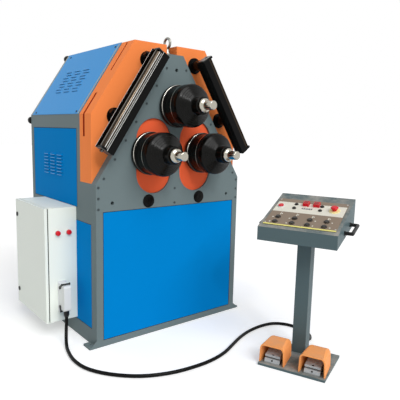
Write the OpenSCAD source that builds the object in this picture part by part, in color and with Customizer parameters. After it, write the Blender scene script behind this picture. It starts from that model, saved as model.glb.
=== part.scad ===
// Three-roll section bender with hydraulic lower rolls, electric cabinet and free-standing control pedestal.
// Millimetres. +X to the right along the front, +Y to the back, +Z up.
// Origin on the floor, midway between the four anchor holes.

/* [Base] */
// width over the corner posts
base_w = 1100; // [900:5:1300]
// depth from the front plate to the rear cover
base_d = 990; // [800:5:1200]
// height of the base, up to the lower edge of the front plate
base_h = 816; // [700:2:900]
// side of the square corner posts
post_w = 44; // [36:1:60]
// height of the lower rails
rail_h = 40; // [30:1:60]
// width of the side frames' uprights
side_post = 62; // [50:1:80]
// height of the side frames' upper rails
side_top = 78; // [60:1:100]
// height of the side frames' lower rails
side_low = 100; // [60:1:106]
// thickness of the sheet panels
sheet_t = 3; // [2:0.5:5]
// how far each foot tab stands out at the side
foot_out = 46; // [36:1:60]
// thickness of the foot tabs
foot_t = 12; // [8:1:16]
// depth of each foot tab
foot_d = 84; // [64:1:110]
// radius of the anchor holes
anchor_r = 9; // [6:0.5:12]

/* [Head] */
// thickness of the front plate
plate_t = 55; // [40:1:70]
// thickness of the front plate's skin over the sliding covers
skin_t = 12; // [10:1:16]
// height of the plate's straight sides
shoulder_h = 161; // [120:1:200]
// height of the plate's top edge above the upper spindle
apex_up = 310; // [290:1:340]
// half width of the plate's top edge
apex_hw = 49; // [40:1:70]
// depth of the head, from the plate's face to the casing
head_d = 200; // [170:1:240]
// radius of the two upright openings
slot_r = 125; // [115:1:130]
// distance of the openings from the middle
slot_x = 160; // [158:1:170]
// distance from the lower spindles down to the openings' lower end centre
slot_below = 121; // [100:1:130]
// distance from the lower spindles up to the openings' upper end centre
slot_above = 85; // [70:1:88]
// radius of the tapped holes in the plate
tap_r = 10.5; // [8:0.5:12]
// depth of the tapped holes
tap_depth = 40; // [30:1:50]
// radius of the cylinder pin covers
pin_cover_r = 40; // [34:1:46]
// height of the cylinder pins above the base
pin_up = 44; // [36:1:60]
// distance between the edge screws along the slope
screw_pitch = 130; // [110:1:130]
// head radius of the edge screws
screw_r = 9; // [7:0.5:11]

/* [Rolls] */
// distance of the lower spindles from the middle
roll_x = 197; // [190:1:210]
// height of the lower spindles above the base
roll_up = 335; // [315:1:355]
// height of the upper spindle above the lower ones
top_rise = 287; // [275:1:310]
// outer radius of the rolls
roll_r = 130; // [110:1:130]
// length of the roll stack
roll_len = 174; // [160:1:180]
// radius of the hubs ahead of the rolls
hub_r = 52; // [48:1:58]
// length of the hubs
hub_len = 88; // [70:1:96]
// radius of the spindles inside the rolls
shaft_r = 34; // [28:0.5:36]
// radius of the bearing noses that pass the plate
nose_r = 66; // [58:1:68]
// width across corners of the spindle nuts, halved
nut_r = 42; // [41:0.5:46]
// length of the spindle nuts
nut_len = 26; // [20:1:34]
// radius of the spindle ends
tip_r = 26; // [18:0.5:28]
// length of the spindle ends
tip_len = 64; // [50:1:70]
// upward travel of the lower rolls
lift_up = 80; // [50:1:80]
// downward travel of the lower rolls
lift_down = 70; // [40:1:70]
// radius of the hydraulic rods
rod_r = 32; // [24:0.5:36]
// radius of the cylinder barrels
barrel_r = 54; // [48:0.5:56]
// radial clearance of turning and sliding fits
run_fit = 0.05; // [0.01:0.01:0.1]
// gap between separate bodies
body_gap = 0.3; // [0.2:0.05:0.5]

/* [Guards and casing] */
// distance from the plate's slanted edge to the casing's slanted face
guard_off = 216; // [190:1:240]
// height of the casing's top above the plate's top edge
casing_up = 63; // [30:1:110]
// sheet thickness of the orange guards
guard_t = 3; // [2:0.5:5]
// half width of the notch between the guards
notch_hw = 38; // [36:1:44]
// height of the grey band below the casing's shoulder
band_h = 83; // [60:1:110]
// length of one louvre
louvre_l = 84; // [60:1:84]
// height of one louvre
louvre_h = 9; // [6:0.5:9]
// radius of the rear knobs
knob_r = 20; // [14:0.5:26]

/* [Guide beams] */
// depth of the channels, front to back
beam_d = 74; // [70:1:86]
// width of the channels
beam_w = 88; // [80:1:94]
// width of the channels' front flange
flange_w = 45; // [40:1:60]
// wall of the channels
beam_t = 8; // [6:0.5:12]
// front face of the channels ahead of the plate
beam_front = 105; // [100:1:120]
// distance of the channels' inner side from the plate's slanted edge
beam_o = 46; // [40:1:56]
// upper end of the channels along the slope
beam_t0 = 74; // [60:1:90]
// lower end of the channels along the slope
beam_t1 = 747; // [700:1:760]
// radius of the guide rollers
guide_r = 28; // [24:0.5:28.5]
// radius of the guide rollers' journals
journal_r = 10; // [8:0.5:12]
// radius of the posts
guide_post_r = 31; // [26:0.5:34]
// radius of the post collars
collar_r = 50; // [44:1:56]
// place of the upper posts along the slope
post_t0 = 107; // [105:1:125]
// place of the lower posts along the slope
post_t1 = 514; // [490:1:540]

/* [Cabinet] */
// depth of the cabinet, away from the machine
cab_x = 200; // [160:1:240]
// width of the cabinet
cab_y = 500; // [440:1:540]
// height of the cabinet
cab_z = 704; // [640:1:720]
// distance of the cabinet from the front
cab_front = 262; // [250:1:300]
// height of the cabinet above the floor
cab_z0 = 113; // [100:1:140]
// thickness of the door
door_t = 20; // [16:0.5:26]
// wall of the cabinet
cab_t = 4; // [3:0.5:6]

/* [Pedestal] */
// place of the column to the right of the middle
ped_x = 397; // [380:1:450]
// place of the column ahead of the front plate
ped_front = 752; // [700:1:800]
// turn of the pedestal about the vertical
ped_yaw = -68.3; // [-75:0.1:-60]
// width of the foot plate
ped_w = 378; // [360:1:420]
// depth of the foot plate
ped_d = 333; // [320:1:360]
// thickness of the foot plate
ped_t = 13; // [10:1:16]
// side of the square column
col_w = 80; // [60:1:90]
// width of the console
con_w = 442; // [430:1:480]
// depth of the console
con_d = 399; // [390:1:420]
// height of the console's lower front edge
con_z = 700; // [660:1:740]
// height of the console's front face
con_front_h = 77; // [70:1:90]
// rise of the console's sloping face
con_rise = 145; // [130:1:160]
// wall of the console
con_t = 4; // [3:0.5:6]
// radius of the push buttons
push_r = 12; // [9:0.5:13]
// radius of the red button
red_r = 16; // [12:0.5:17]
// radius of the small keys
key_r = 8; // [6:0.5:9]
// travel of the buttons
push_travel = 4; // [2:0.5:4]
// radius of the emergency stop's head
stop_r = 21; // [18:0.5:22]
// width of the pedal guards
hood_w = 146; // [140:1:150]
// height of the pedal guards' front
hood_h = 104; // [96:1:112]
// rise of the pedal guards' top
hood_rise = 10; // [4:1:16]
// fall of the pedal guards' top at the rear
hood_drop = 6; // [0:1:10]
// narrowing of the pedal guards at the rear, each side
hood_in = 10; // [4:1:12]
// wall of the pedal guards
hood_t = 6; // [4:0.5:7]

/* [Cable] */
// radius of the cable
cable_r = 10; // [7:0.5:11]

/* [Hidden] */
$fn = 48;

grey = [0.42, 0.48, 0.49];
blue = [0.02, 0.45, 0.74];
orange = [0.95, 0.42, 0.14];
black = [0.06, 0.06, 0.06];
chrome = [0.8, 0.81, 0.82];
white = [0.88, 0.9, 0.86];
red = [0.8, 0.08, 0.12];
yellow = [0.93, 0.9, 0.45];
slate = [0.33, 0.4, 0.42];

half_w = base_w / 2;
panel_hw = half_w - post_w;
shoulder_z = base_h + shoulder_h;
pin_z = base_h + pin_up;
roll_z = base_h + roll_up;
slot_z0 = roll_z - slot_below;
slot_z1 = roll_z + slot_above;
top_z = roll_z + top_rise;
apex_z = top_z + apex_up;
casing_z = apex_z + casing_up;
eye_y = 105;
slope_a = atan2(apex_z - shoulder_z, half_w - apex_hw);
slope_len = sqrt(pow(apex_z - shoulder_z, 2) + pow(half_w - apex_hw, 2));
casing_sh = shoulder_z + guard_off / cos(slope_a);
casing_hw = apex_hw + (guard_off - (casing_z - apex_z) * cos(slope_a)) / sin(slope_a);
casing_len = (casing_z - casing_sh) / sin(slope_a);
cover_y0 = skin_t + body_gap;
cover_y1 = cover_y0 + 8;
head_wall = 20;
block_y0 = plate_t + guard_t + body_gap;
block_y1 = head_d - head_wall + 5;
rod_y = (block_y0 + head_d - head_wall) / 2;
block_hw = 85;
block_hh = 95;
cover_r = slot_r + 4;
cover_gap = 1.5;
motor_r = 80;
motor_len = 215;
nose_front = 2;
roll_back = -8;
roll_front = roll_back - roll_len;
hub_front = roll_front - hub_len;
nut_front = hub_front - nut_len;
tip_front = nut_front - tip_len;
groove_z = [30, 100];
barrel_top = pin_z + 30;
barrel_bottom = roll_z - block_hh - lift_down - 480;
cyl_bore_r = barrel_r - 10;
rod_bottom = barrel_bottom + lift_down + 40;
pocket_hw0 = 24;
head_wall_z = roll_z - block_hh - lift_down - 6;
pocket_hw1 = roll_x + block_hw + 45;
beam_back = beam_front - beam_d;
beam_mid_o = beam_o + guide_post_r + 5;
guide_o = beam_o + beam_w - guide_r - 1;
end_t = 12;
seat = 0.03;
post_end = head_d + 1;
cab_side = -half_w;
door_x0 = cab_side - cab_x;
door_x1 = door_x0 + door_t;
door_gap = 4;
door_in = 6;
door_pin_r = 4;
ear_t = 3;
lamp_z = cab_z0 + 552;
lock_y = cab_front + cab_y - 30;
lock_z = [cab_z0 + 94, cab_z0 + cab_z - 98];
lock_r = 14;
lock_stem_r = 9;
con_x = cab_side - 100;
con_hw = 22;
con_z0 = 176;
con_z1 = 366;
hood_y0 = cab_front - 86;
hood_y1 = cab_front - 38;
hood_z0 = 196;
hood_z1 = 352;
gland_r = 17;
con_gland_z = hood_z0 - 40;
con_gland_y = (hood_y0 + hood_y1) / 2;
lever_z1 = hood_z1 - 18;
lever_z0 = hood_z0 + 18;
lever_r = 6;
lever_y = hood_y1 + 10;
con_y0 = 186 - con_d;
con_y1 = 186;
con_z_top = con_z + con_front_h;
face_a = atan2(con_rise, con_d);
face_len = con_d / cos(face_a);
face_hw = 203;
face_v0 = 34;
face_v1 = 346;
panel_t = 4;
ring_h = 5;
push_u = [-143, -46, 40, 132];
push_v = [66, 120];
key_u = [-87, 64];
key_v = [236, 284];
red_at = [-171, 250];
stop_at = [143, 250];
readout_u = [-29, 32.5];
readout_hw = 17;
readout_v = 288;
ped_bx = 29;
ped_by1 = 58;
hood_x = [-87, 140];
hood_front = -256;
hood_mid = -142;
hood_back = -96;
treadle_y = -112;
treadle_z = 66;
hinge_r = 4;
handle_r = 10;
handle_out = 42;
handle_y = [-57, 75];
foot_x = half_w + foot_out / 2;
foot_y = 50;

// route of the cable from the connector's gland to the column, in the machine's frame from the front plate
route = [
    [con_x, con_gland_y, con_gland_z], [con_x, con_gland_y, con_gland_z - 26],
    [con_x - 8, con_gland_y - 12, 82], [con_x - 22, con_gland_y - 42, 36], [con_x - 40, con_gland_y - 90, 13],
    [-707, 50, cable_r], [-726, -60, cable_r], [-716, -180, cable_r], [-665, -290, cable_r],
    [-580, -390, cable_r], [-480, -462, cable_r], [-345, -512, cable_r], [-195, -530, cable_r],
    [-80, -524, cable_r], [25, -498, cable_r], [130, -452, cable_r], [235, -406, cable_r],
    [350, -372, cable_r], [470, -362, cable_r], [570, -382, cable_r], [632, -450, cable_r],
    [650, -545, cable_r], [628, -635, cable_r], [566, -692, 17], [508, -708, 36]
];
col_gland = [ped_x + (col_w / 2 + 24) * -sin(ped_yaw), -ped_front + (col_w / 2 + 24) * cos(ped_yaw), 52];
col_dir = [-sin(ped_yaw), cos(ped_yaw), 0];
route_all = concat(route, [col_gland]);
route_steps = 3;

function cat(a, b, c, d, t) = 0.5 * ((2 * b) + (c - a) * t + (2 * a - 5 * b + 4 * c - d) * t * t
    + (3 * b - a - 3 * c + d) * t * t * t);
function route_pt(i) = route_all[max(0, min(len(route_all) - 1, i))];
function unit(v) = v / norm(v);
path = [for (i = [0 : len(route_all) - 2]) for (k = [0 : route_steps - 1])
    cat(route_pt(i - 1), route_pt(i), route_pt(i + 1), route_pt(i + 2), k / route_steps)];
path_all = concat(path, [route_pt(len(route_all) - 1)]);
function tangent(i) = i == 0 ? [0, 0, -1] : i == len(path_all) - 1 ? -col_dir
    : unit(path_all[i + 1] - path_all[i - 1]);
side_ref = [0, 0.6, -0.8];

// helpers
module front_frame() {
    translate([0, -base_d / 2, 0]) children();
}
module both() {
    children();
    mirror([1, 0, 0]) children();
}
module ycyl(r, y0, y1) {
    translate([0, y0, 0]) rotate([-90, 0, 0]) cylinder(r = r, h = y1 - y0);
}
module ycone(r0, r1, y0, y1) {
    translate([0, y0, 0]) rotate([-90, 0, 0]) cylinder(r1 = r0, r2 = r1, h = y1 - y0);
}
module xz(y0, y1) {
    translate([0, y1, 0]) rotate([90, 0, 0]) linear_extrude(height = y1 - y0) children();
}
module yz(x0, x1) {
    translate([x0, 0, 0]) rotate([90, 0, 90]) linear_extrude(height = x1 - x0) children();
}
module box(a, b) {
    translate(a) cube(b - a);
}
// local X runs down the right slope, local Z points away from it
module on_slope() {
    translate([apex_hw, 0, apex_z]) rotate([0, slope_a, 0]) children();
}
// local X runs up the right casing slope from the shoulder, local Z points away from it
module on_casing() {
    translate([half_w, 0, casing_sh]) rotate([0, slope_a - 180, 0]) mirror([0, 0, 1]) children();
}
module at_pedestal() {
    translate([ped_x, -ped_front, 0]) rotate([0, 0, ped_yaw]) children();
}
// local X across the console, local Y up its sloping face, local Z out of it
module on_console() {
    at_pedestal() translate([0, con_y0, con_z_top]) rotate([face_a, 0, 0]) children();
}
function slope_x(z, d) = apex_hw + (guard_off - d - (z - apex_z) * cos(slope_a)) / sin(slope_a);
function slope_z(x, d) = apex_z + (guard_off - d - (x - apex_hw) * sin(slope_a)) / cos(slope_a);
// outline of the casing, inset by d
module casing_shape(d) {
    w = half_w - d;
    z = casing_z - d;
    polygon([[-w, base_h + d], [w, base_h + d], [w, slope_z(w, d)], [slope_x(z, d), z], [-slope_x(z, d), z],
        [-w, slope_z(w, d)]]);
}
// upright obround with its end centres at z0 and z1
module obround(x, r, z0, z1) {
    translate([x, z0]) circle(r = r);
    translate([x, z1]) circle(r = r);
    translate([x - r, z0]) square([2 * r, z1 - z0]);
}

// base
module side_shape() {
    difference() {
        square([base_d, base_h]);
        translate([side_post, side_low])
            square([base_d - 2 * side_post, base_h - side_top - side_low]);
    }
}
module base_frame() {
    color(grey) front_frame() {
        difference() {
            union() {
                both() yz(panel_hw, half_w) side_shape();
                box([-panel_hw, 0, 0], [panel_hw, post_w, rail_h]);
                box([-panel_hw, base_d - post_w, 0], [panel_hw, base_d, rail_h]);
                box([-panel_hw, sheet_t + 1, base_h - rail_h], [panel_hw, post_w, base_h]);
                box([-panel_hw, base_d - post_w, base_h - rail_h], [panel_hw, base_d - sheet_t, base_h]);
                both() foot_tab();
                both() translate([0, base_d, 0]) mirror([0, 1, 0]) foot_tab();
            }
            both() anchor_hole(foot_y);
            both() anchor_hole(base_d - foot_y);
        }
    }
}
module foot_tab() {
    box([half_w, 0, 0], [half_w + foot_out, foot_d, foot_t]);
    w = foot_out * 0.7;
    xz(0, 6) polygon([[half_w, foot_t], [half_w + w, foot_t], [half_w, foot_t + w]]);
}
module anchor_hole(y) {
    translate([foot_x, y, -1]) cylinder(r = anchor_r, h = foot_t + 2);
}
module front_panel() {
    color(blue) front_frame() box([-panel_hw, 1, rail_h], [panel_hw, 1 + sheet_t, base_h]);
}
module base_panels() {
    color(blue) front_frame() {
        both() box([half_w - sheet_t - 1, side_post, side_low],
            [half_w - 1, base_d - side_post, base_h - side_top]);
        box([-panel_hw, base_d - sheet_t, rail_h], [panel_hw, base_d, base_h]);
    }
}

// head
module front_plate() {
    color(grey) front_frame() difference() {
        xz(0, plate_t) difference() {
            polygon([[-half_w, base_h], [half_w, base_h], [half_w, shoulder_z], [apex_hw, apex_z],
                [-apex_hw, apex_z], [-half_w, shoulder_z]]);
            both() obround(slot_x, slot_r, slot_z0, slot_z1);
            translate([0, top_z]) circle(r = nose_r + body_gap);
        }
        xz(skin_t, plate_t + 1) both()
            obround(slot_x, cover_r + cover_gap, slot_z0 - lift_down, slot_z1 + lift_up);
        translate([0, 0, apex_z - 91]) ycyl(tap_r, -1, tap_depth);
        both() translate([half_w - 105, 0, base_h + 48]) ycyl(tap_r, -1, tap_depth);
    }
}
module plate_fittings() {
    color(black) front_frame() {
        both() translate([roll_x, 0, pin_z]) ycyl(pin_cover_r, -5, 0);
        both() on_slope() for (k = [0 : 6]) {
            translate([85 + k * screw_pitch, 0, -25]) ycyl(screw_r, -3, 0);
        }
        both() for (k = [0 : 2]) {
            translate([half_w - 15, 0, base_h + 17 + k * 63]) ycyl(screw_r, -3, 0);
        }
        translate([0, 0, base_h + 112]) ycyl(screw_r, -3, 0);
        translate([0, 0, base_h + 19]) ycyl(screw_r, -3, 0);
    }
}
module head_frame() {
    color(grey) front_frame() difference() {
        union() {
            box([-half_w, plate_t, base_h], [half_w, head_d, shoulder_z]);
            box([-pocket_hw0 + 2, plate_t, shoulder_z], [pocket_hw0 - 2, head_d, apex_z + 4]);
            translate([0, 0, top_z]) ycyl(nose_r, nose_front, head_d + 4);
            translate([0, 0, top_z]) ycyl(motor_r, head_d, head_d + motor_len);
        }
        both() box([pocket_hw0, plate_t - 1, base_h - 1], [pocket_hw1, head_d - head_wall, shoulder_z + 1]);
        if (head_wall_z < shoulder_z)
            both() box([pocket_hw0, plate_t - 1, head_wall_z], [pocket_hw1, head_d + 1, shoulder_z + 1]);
        translate([0, 0, top_z]) ycyl(shaft_r + run_fit, nose_front - 1, head_d + 20);
        translate([0, eye_y, apex_z - 40]) cylinder(r = 12 + body_gap, h = 60);
    }
}
module lift_cylinders() {
    color(slate) front_frame() both() translate([roll_x, 0, 0]) {
        difference() {
            union() {
                translate([0, rod_y, barrel_bottom]) cylinder(r = barrel_r, h = barrel_top - barrel_bottom);
                translate([0, 0, pin_z]) ycyl(25, rod_y + rod_r + 8, head_d - head_wall);
            }
            translate([0, rod_y, barrel_bottom + 20])
                cylinder(r = cyl_bore_r, h = barrel_top - barrel_bottom - 60);
            translate([0, rod_y, barrel_top - 60]) cylinder(r = rod_r + run_fit, h = 70);
        }
    }
}
module lifting_eye() {
    color(chrome) front_frame() translate([0, eye_y, apex_z + 4]) {
        cylinder(r = 27, h = 14);
        translate([0, 0, -30]) cylinder(r = 12, h = 40);
        translate([0, 0, 10]) cylinder(r1 = 22, r2 = 11, h = 36);
        translate([0, 0, 77]) rotate([0, 90, 0]) rotate_extrude() translate([30, 0]) circle(r = 8);
    }
}

// guards
module guard() {
    lip = 22;
    difference() {
        union() {
            xz(plate_t, plate_t + guard_t) polygon([
                [half_w, shoulder_z], [half_w, casing_sh], [casing_hw, casing_z], [notch_hw, casing_z],
                [notch_hw, apex_z - 60], [apex_hw - 8, apex_z - 60], [half_w - lip, shoulder_z + 18],
                [half_w - lip, shoulder_z]
            ]);
            xz(plate_t, head_d) polygon([
                [half_w, shoulder_z], [half_w, casing_sh], [casing_hw, casing_z], [notch_hw, casing_z],
                [notch_hw, apex_z - 60], [notch_hw + guard_t, apex_z - 60],
                [notch_hw + guard_t, casing_z - guard_t],
                [slope_x(casing_z - guard_t, guard_t), casing_z - guard_t],
                [half_w - guard_t, slope_z(half_w - guard_t, guard_t)], [half_w - guard_t, shoulder_z]
            ]);
        }
        on_slope() for (t = [post_t0, post_t1]) {
            translate([t, 0, beam_mid_o + 4])
                ycyl(guide_post_r + body_gap, plate_t - 1, plate_t + guard_t + 1);
        }
        on_casing() box([casing_len * 0.59, 125, -guard_t - 2], [casing_len * 0.985, 143, 2]);
        corner_slot();
    }
}
// slot that runs up the guard's side and bends onto its slope
module corner_slot() {
    x0 = half_w - guard_t - 2;
    x1 = half_w + 2;
    u = [-cos(slope_a), sin(slope_a)];
    n = [sin(slope_a), cos(slope_a)];
    top = [half_w, casing_sh] + u * 150;
    xz(134, 160) polygon([
        [x0, casing_sh - 128], [x1, casing_sh - 128], [x1, slope_z(x1, -2)], top + n * 2,
        top - n * (guard_t + 2), [x0, slope_z(x0, guard_t + 2)]
    ]);
}
module right_guard() {
    color(orange) front_frame() guard();
}
module left_guard() {
    color(orange) front_frame() mirror([1, 0, 0]) guard();
}

// casing
module casing_frame() {
    y1 = base_d - sheet_t;
    color(grey) front_frame() {
        xz(head_d, head_d + post_w) difference() {
            casing_shape(0);
            casing_shape(post_w);
        }
        xz(y1 - post_w, y1) difference() {
            casing_shape(0);
            casing_shape(post_w);
        }
        both() on_slope() for (t = [post_t0, post_t1]) {
            box([t - 50, post_end, beam_mid_o - 34], [t + 50, post_end + 8, guard_off - post_w / 2]);
        }
        both() box([half_w - 30, head_d + post_w, casing_sh - band_h], [half_w, y1 - post_w, casing_sh]);
        both() box([half_w - 30, head_d + post_w, base_h], [half_w - sheet_t, y1 - post_w, base_h + 30]);
        both() box([casing_hw - 40, head_d + post_w, casing_z - 30], [casing_hw - 12, y1 - post_w, casing_z]);
    }
}
module louvre_rows(rows, y0, pitch_y, pitch_z, stagger) {
    for (r = [0 : rows - 1]) for (c = [0 : 2]) {
        translate([r * pitch_z, y0 + c * pitch_y + (r % 2) * stagger, -sheet_t - 2])
            cube([louvre_h, louvre_l, 3 * sheet_t + 4]);
    }
}
module casing_side_panels() {
    y0 = head_d + post_w;
    y1 = base_d - sheet_t - post_w;
    color(blue) front_frame() both() difference() {
        box([half_w - sheet_t, y0, base_h], [half_w, y1, casing_sh - band_h]);
        translate([half_w, 0, base_h + 174]) rotate([0, -90, 0]) louvre_rows(7, 452, 106, 21, 0);
    }
}
module casing_slope_panels() {
    y0 = head_d + 12;
    y1 = base_d - sheet_t - 16;
    color(blue) front_frame() {
        both() difference() {
            on_casing() box([0, y0, seat], [casing_len, y1, sheet_t]);
            on_casing() translate([175, 0, 0]) louvre_rows(8, 420, 130, 24, 24);
        }
        box([-casing_hw, y0, casing_z], [casing_hw, y1, casing_z + sheet_t]);
        both() for (k = [16, casing_len - 20]) {
            on_casing() translate([k, y0 + 40, sheet_t]) cylinder(r = 7, h = 3);
            on_casing() translate([k, y1 - 70, sheet_t]) cylinder(r = 7, h = 3);
        }
    }
}
module casing_rear_cover() {
    y1 = base_d - sheet_t;
    color(grey) front_frame() {
        xz(y1, base_d) casing_shape(0);
        both() for (p = [[half_w - 12, casing_sh - 36], [casing_hw - 6, casing_z - 20]]) {
            translate([p[0], 0, p[1]]) ycyl(knob_r * 0.4, base_d, base_d + 14);
            translate([p[0], 0, p[1]]) ycyl(knob_r, base_d + 14, base_d + 40);
        }
    }
}

// guide beams
module beam() {
    on_slope() difference() {
        union() {
            box([beam_t0, -beam_front, beam_o], [beam_t1, -beam_back, beam_o + beam_t]);
            box([beam_t0, -beam_front, beam_o + beam_t], [beam_t1, -beam_front + beam_t, beam_o + flange_w]);
            box([beam_t0, -beam_back - beam_t, beam_o + beam_t], [beam_t1, -beam_back, beam_o + beam_w]);
            box([beam_t0, -beam_front + beam_t, beam_o + beam_t],
                [beam_t0 + end_t, -beam_back - beam_t, beam_o + beam_w - 4]);
            box([beam_t1 - end_t, -beam_front + beam_t, beam_o + beam_t],
                [beam_t1, -beam_back - beam_t, beam_o + beam_w - 4]);
        }
        translate([beam_t0 - 1, -(beam_front + beam_back) / 2, guide_o]) rotate([0, 90, 0])
            cylinder(r = journal_r + run_fit, h = beam_t1 - beam_t0 + 2);
    }
}
module right_guide_beam() {
    color(black) front_frame() beam();
}
module left_guide_beam() {
    color(black) front_frame() mirror([1, 0, 0]) beam();
}
module guide_posts() {
    color(black) front_frame() both() on_slope() for (t = [post_t0, post_t1]) {
        translate([t, 0, beam_mid_o + 4]) {
            ycyl(guide_post_r, -beam_back, post_end);
            ycyl(collar_r, plate_t - 6, plate_t);
            translate([0, 8, 0]) cylinder(r = 9, h = guide_post_r + 14);
            translate([0, 8, guide_post_r + 8]) cylinder(r = 15, h = 16);
        }
    }
}
module guide_roller() {
    on_slope() translate([0, -(beam_front + beam_back) / 2, guide_o]) rotate([0, 90, 0]) {
        translate([0, 0, beam_t0 + end_t + body_gap])
            cylinder(r = guide_r, h = beam_t1 - beam_t0 - 2 * (end_t + body_gap));
        translate([0, 0, beam_t0 - 2]) cylinder(r = journal_r, h = beam_t1 - beam_t0 + 16);
    }
}
module right_guide_roller() {
    color(chrome) front_frame() guide_roller();
}
module left_guide_roller() {
    color(chrome) front_frame() mirror([1, 0, 0]) guide_roller();
}

// rolls and spindles, drawn on their own axis
module roll() {
    r = roll_r;
    b = roll_back;
    l = roll_len;
    f = roll_len + hub_len;
    g = groove_z;
    rotate([90, 0, 0]) translate([0, 0, -b]) rotate_extrude() polygon([
        [shaft_r + run_fit, 0], [r - 4, 0], [r, 4], [r, g[0] - 4], [r - 3, g[0] - 1], [r - 9, g[0]],
        [r - 9, g[1]], [r - 5, g[1] + 3], [r - 2, g[1] + 7], [r - 2, l - 14], [r - 5, l - 6], [r - 12, l],
        [hub_r + 8, l + 30], [hub_r + 2, l + 34], [hub_r, l + 38], [hub_r, f - 4], [hub_r - 3, f],
        [shaft_r + run_fit, f]
    ]);
}
module spindle(back) {
    color(chrome) {
        ycyl(shaft_r, hub_front, back);
        intersection() {
            translate([0, nut_front, 0]) rotate([-90, 0, 0]) cylinder(r = nut_r, h = nut_len, $fn = 6);
            ycone(nut_r - 5, nut_r - 5 + nut_len, nut_front, nut_front + nut_len);
        }
        ycyl(tip_r, tip_front + 4, nut_front);
        ycone(tip_r - 4, tip_r, tip_front, tip_front + 4);
    }
}
module top_spindle() {
    front_frame() translate([0, 0, top_z]) spindle(head_d + 12);
}
module top_roll() {
    color(black) front_frame() translate([0, 0, top_z]) roll();
}
module left_spindle() {
    front_frame() translate([-roll_x, 0, roll_z]) spindle(block_y1 - 5);
}
module right_spindle() {
    front_frame() translate([roll_x, 0, roll_z]) spindle(block_y1 - 5);
}
module left_roll() {
    color(black) front_frame() translate([-roll_x, 0, roll_z]) roll();
}
module right_roll() {
    color(black) front_frame() translate([roll_x, 0, roll_z]) roll();
}
module carriage() {
    difference() {
        union() {
            xz(cover_y0, cover_y1) difference() {
                obround(slot_x, cover_r, slot_z0, slot_z1);
                obround(0, nose_r + 3, top_z - lift_up, top_z);
            }
            box([roll_x - block_hw, block_y0, roll_z - block_hh],
                [roll_x + block_hw, block_y1, roll_z + block_hh]);
            translate([roll_x, 0, roll_z]) ycyl(nose_r, nose_front, block_y0 + 1);
            translate([roll_x, 0, roll_z]) ycyl(motor_r, block_y1, block_y1 + motor_len);
            translate([roll_x, rod_y, rod_bottom])
                cylinder(r = rod_r, h = roll_z - block_hh - rod_bottom + 2);
        }
        translate([roll_x, 0, roll_z]) ycyl(shaft_r + run_fit, nose_front - 1, block_y1);
    }
}
module right_carriage() {
    color(orange) front_frame() carriage();
}
module left_carriage() {
    color(orange) front_frame() mirror([1, 0, 0]) carriage();
}

// cabinet
module cabinet_box() {
    x0 = door_x1 + door_gap;
    y1 = cab_front + cab_y;
    z1 = cab_z0 + cab_z;
    color(white) front_frame() {
        difference() {
            box([x0, cab_front, cab_z0], [cab_side, y1, z1]);
            box([x0 - 1, cab_front + cab_t, cab_z0 + cab_t], [cab_side - cab_t, y1 - cab_t, z1 - cab_t]);
        }
        for (z = [cab_z0 - ear_t, z1]) {
            box([door_x1 - 2 * door_in, cab_front, z], [x0 + 24, cab_front + 2 * door_in, z + ear_t]);
        }
        for (z = [cab_z0 - 1, z1 - 15]) {
            translate([door_x1 - door_in, cab_front + door_in, z]) cylinder(r = door_pin_r, h = 16);
        }
        box([cab_side - 18, cab_front + 30, cab_z0 + 40], [cab_side - cab_t, y1 - 30, z1 - 40]);
        for (z = [cab_z0 + 180, cab_z0 + 380, cab_z0 + 560]) {
            box([cab_side - 30, cab_front + 60, z], [cab_side - 18, y1 - 60, z + 35]);
            box([cab_side - 96, cab_front + 90, z - 30], [cab_side - 30, y1 - 110, z + 65]);
        }
    }
}
module cabinet_door() {
    y1 = cab_front + cab_y;
    z0 = cab_z0 + body_gap;
    z1 = cab_z0 + cab_z - body_gap;
    color(white) front_frame() difference() {
        union() {
            box([door_x0, cab_front, z0], [door_x1 - door_in, y1, z1]);
            box([door_x0, cab_front + door_in, z0], [door_x1, y1, z1]);
            translate([door_x1 - door_in, cab_front + door_in, z0]) cylinder(r = door_in, h = z1 - z0);
        }
        box([door_x0 + 3, cab_front + 16, z0 + 16], [door_x1 + 1, y1 - 50, z1 - 16]);
        for (z = [z0 - 1, z1 - 16]) {
            translate([door_x1 - door_in, cab_front + door_in, z]) cylinder(r = door_pin_r + run_fit, h = 17);
        }
        for (z = lock_z) {
            translate([door_x0 - 1, lock_y, z]) rotate([0, 90, 0])
                cylinder(r = lock_stem_r + run_fit, h = door_t + 2);
        }
    }
}
module door_lock(z) {
    translate([door_x0, lock_y, z]) rotate([0, 90, 0]) {
        translate([0, 0, -5]) difference() {
            cylinder(r = lock_r, h = 5);
            translate([-10, -2, -1]) cube([20, 4, 3]);
        }
        translate([0, 0, -1]) cylinder(r = lock_stem_r, h = door_t + 8);
        translate([-7, -7, door_t + 2]) cube([30, 14, 4]);
    }
}
module upper_lock() {
    color(black) front_frame() door_lock(lock_z[1]);
}
module lower_lock() {
    color(black) front_frame() door_lock(lock_z[0]);
}
module cabinet_lamps() {
    color(red) front_frame() for (x = [cab_side - 121, cab_side - 52]) {
        translate([x, 0, lamp_z]) {
            ycyl(18, cab_front - 6, cab_front);
            ycyl(15, cab_front - 20, cab_front - 6);
        }
    }
}

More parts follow.
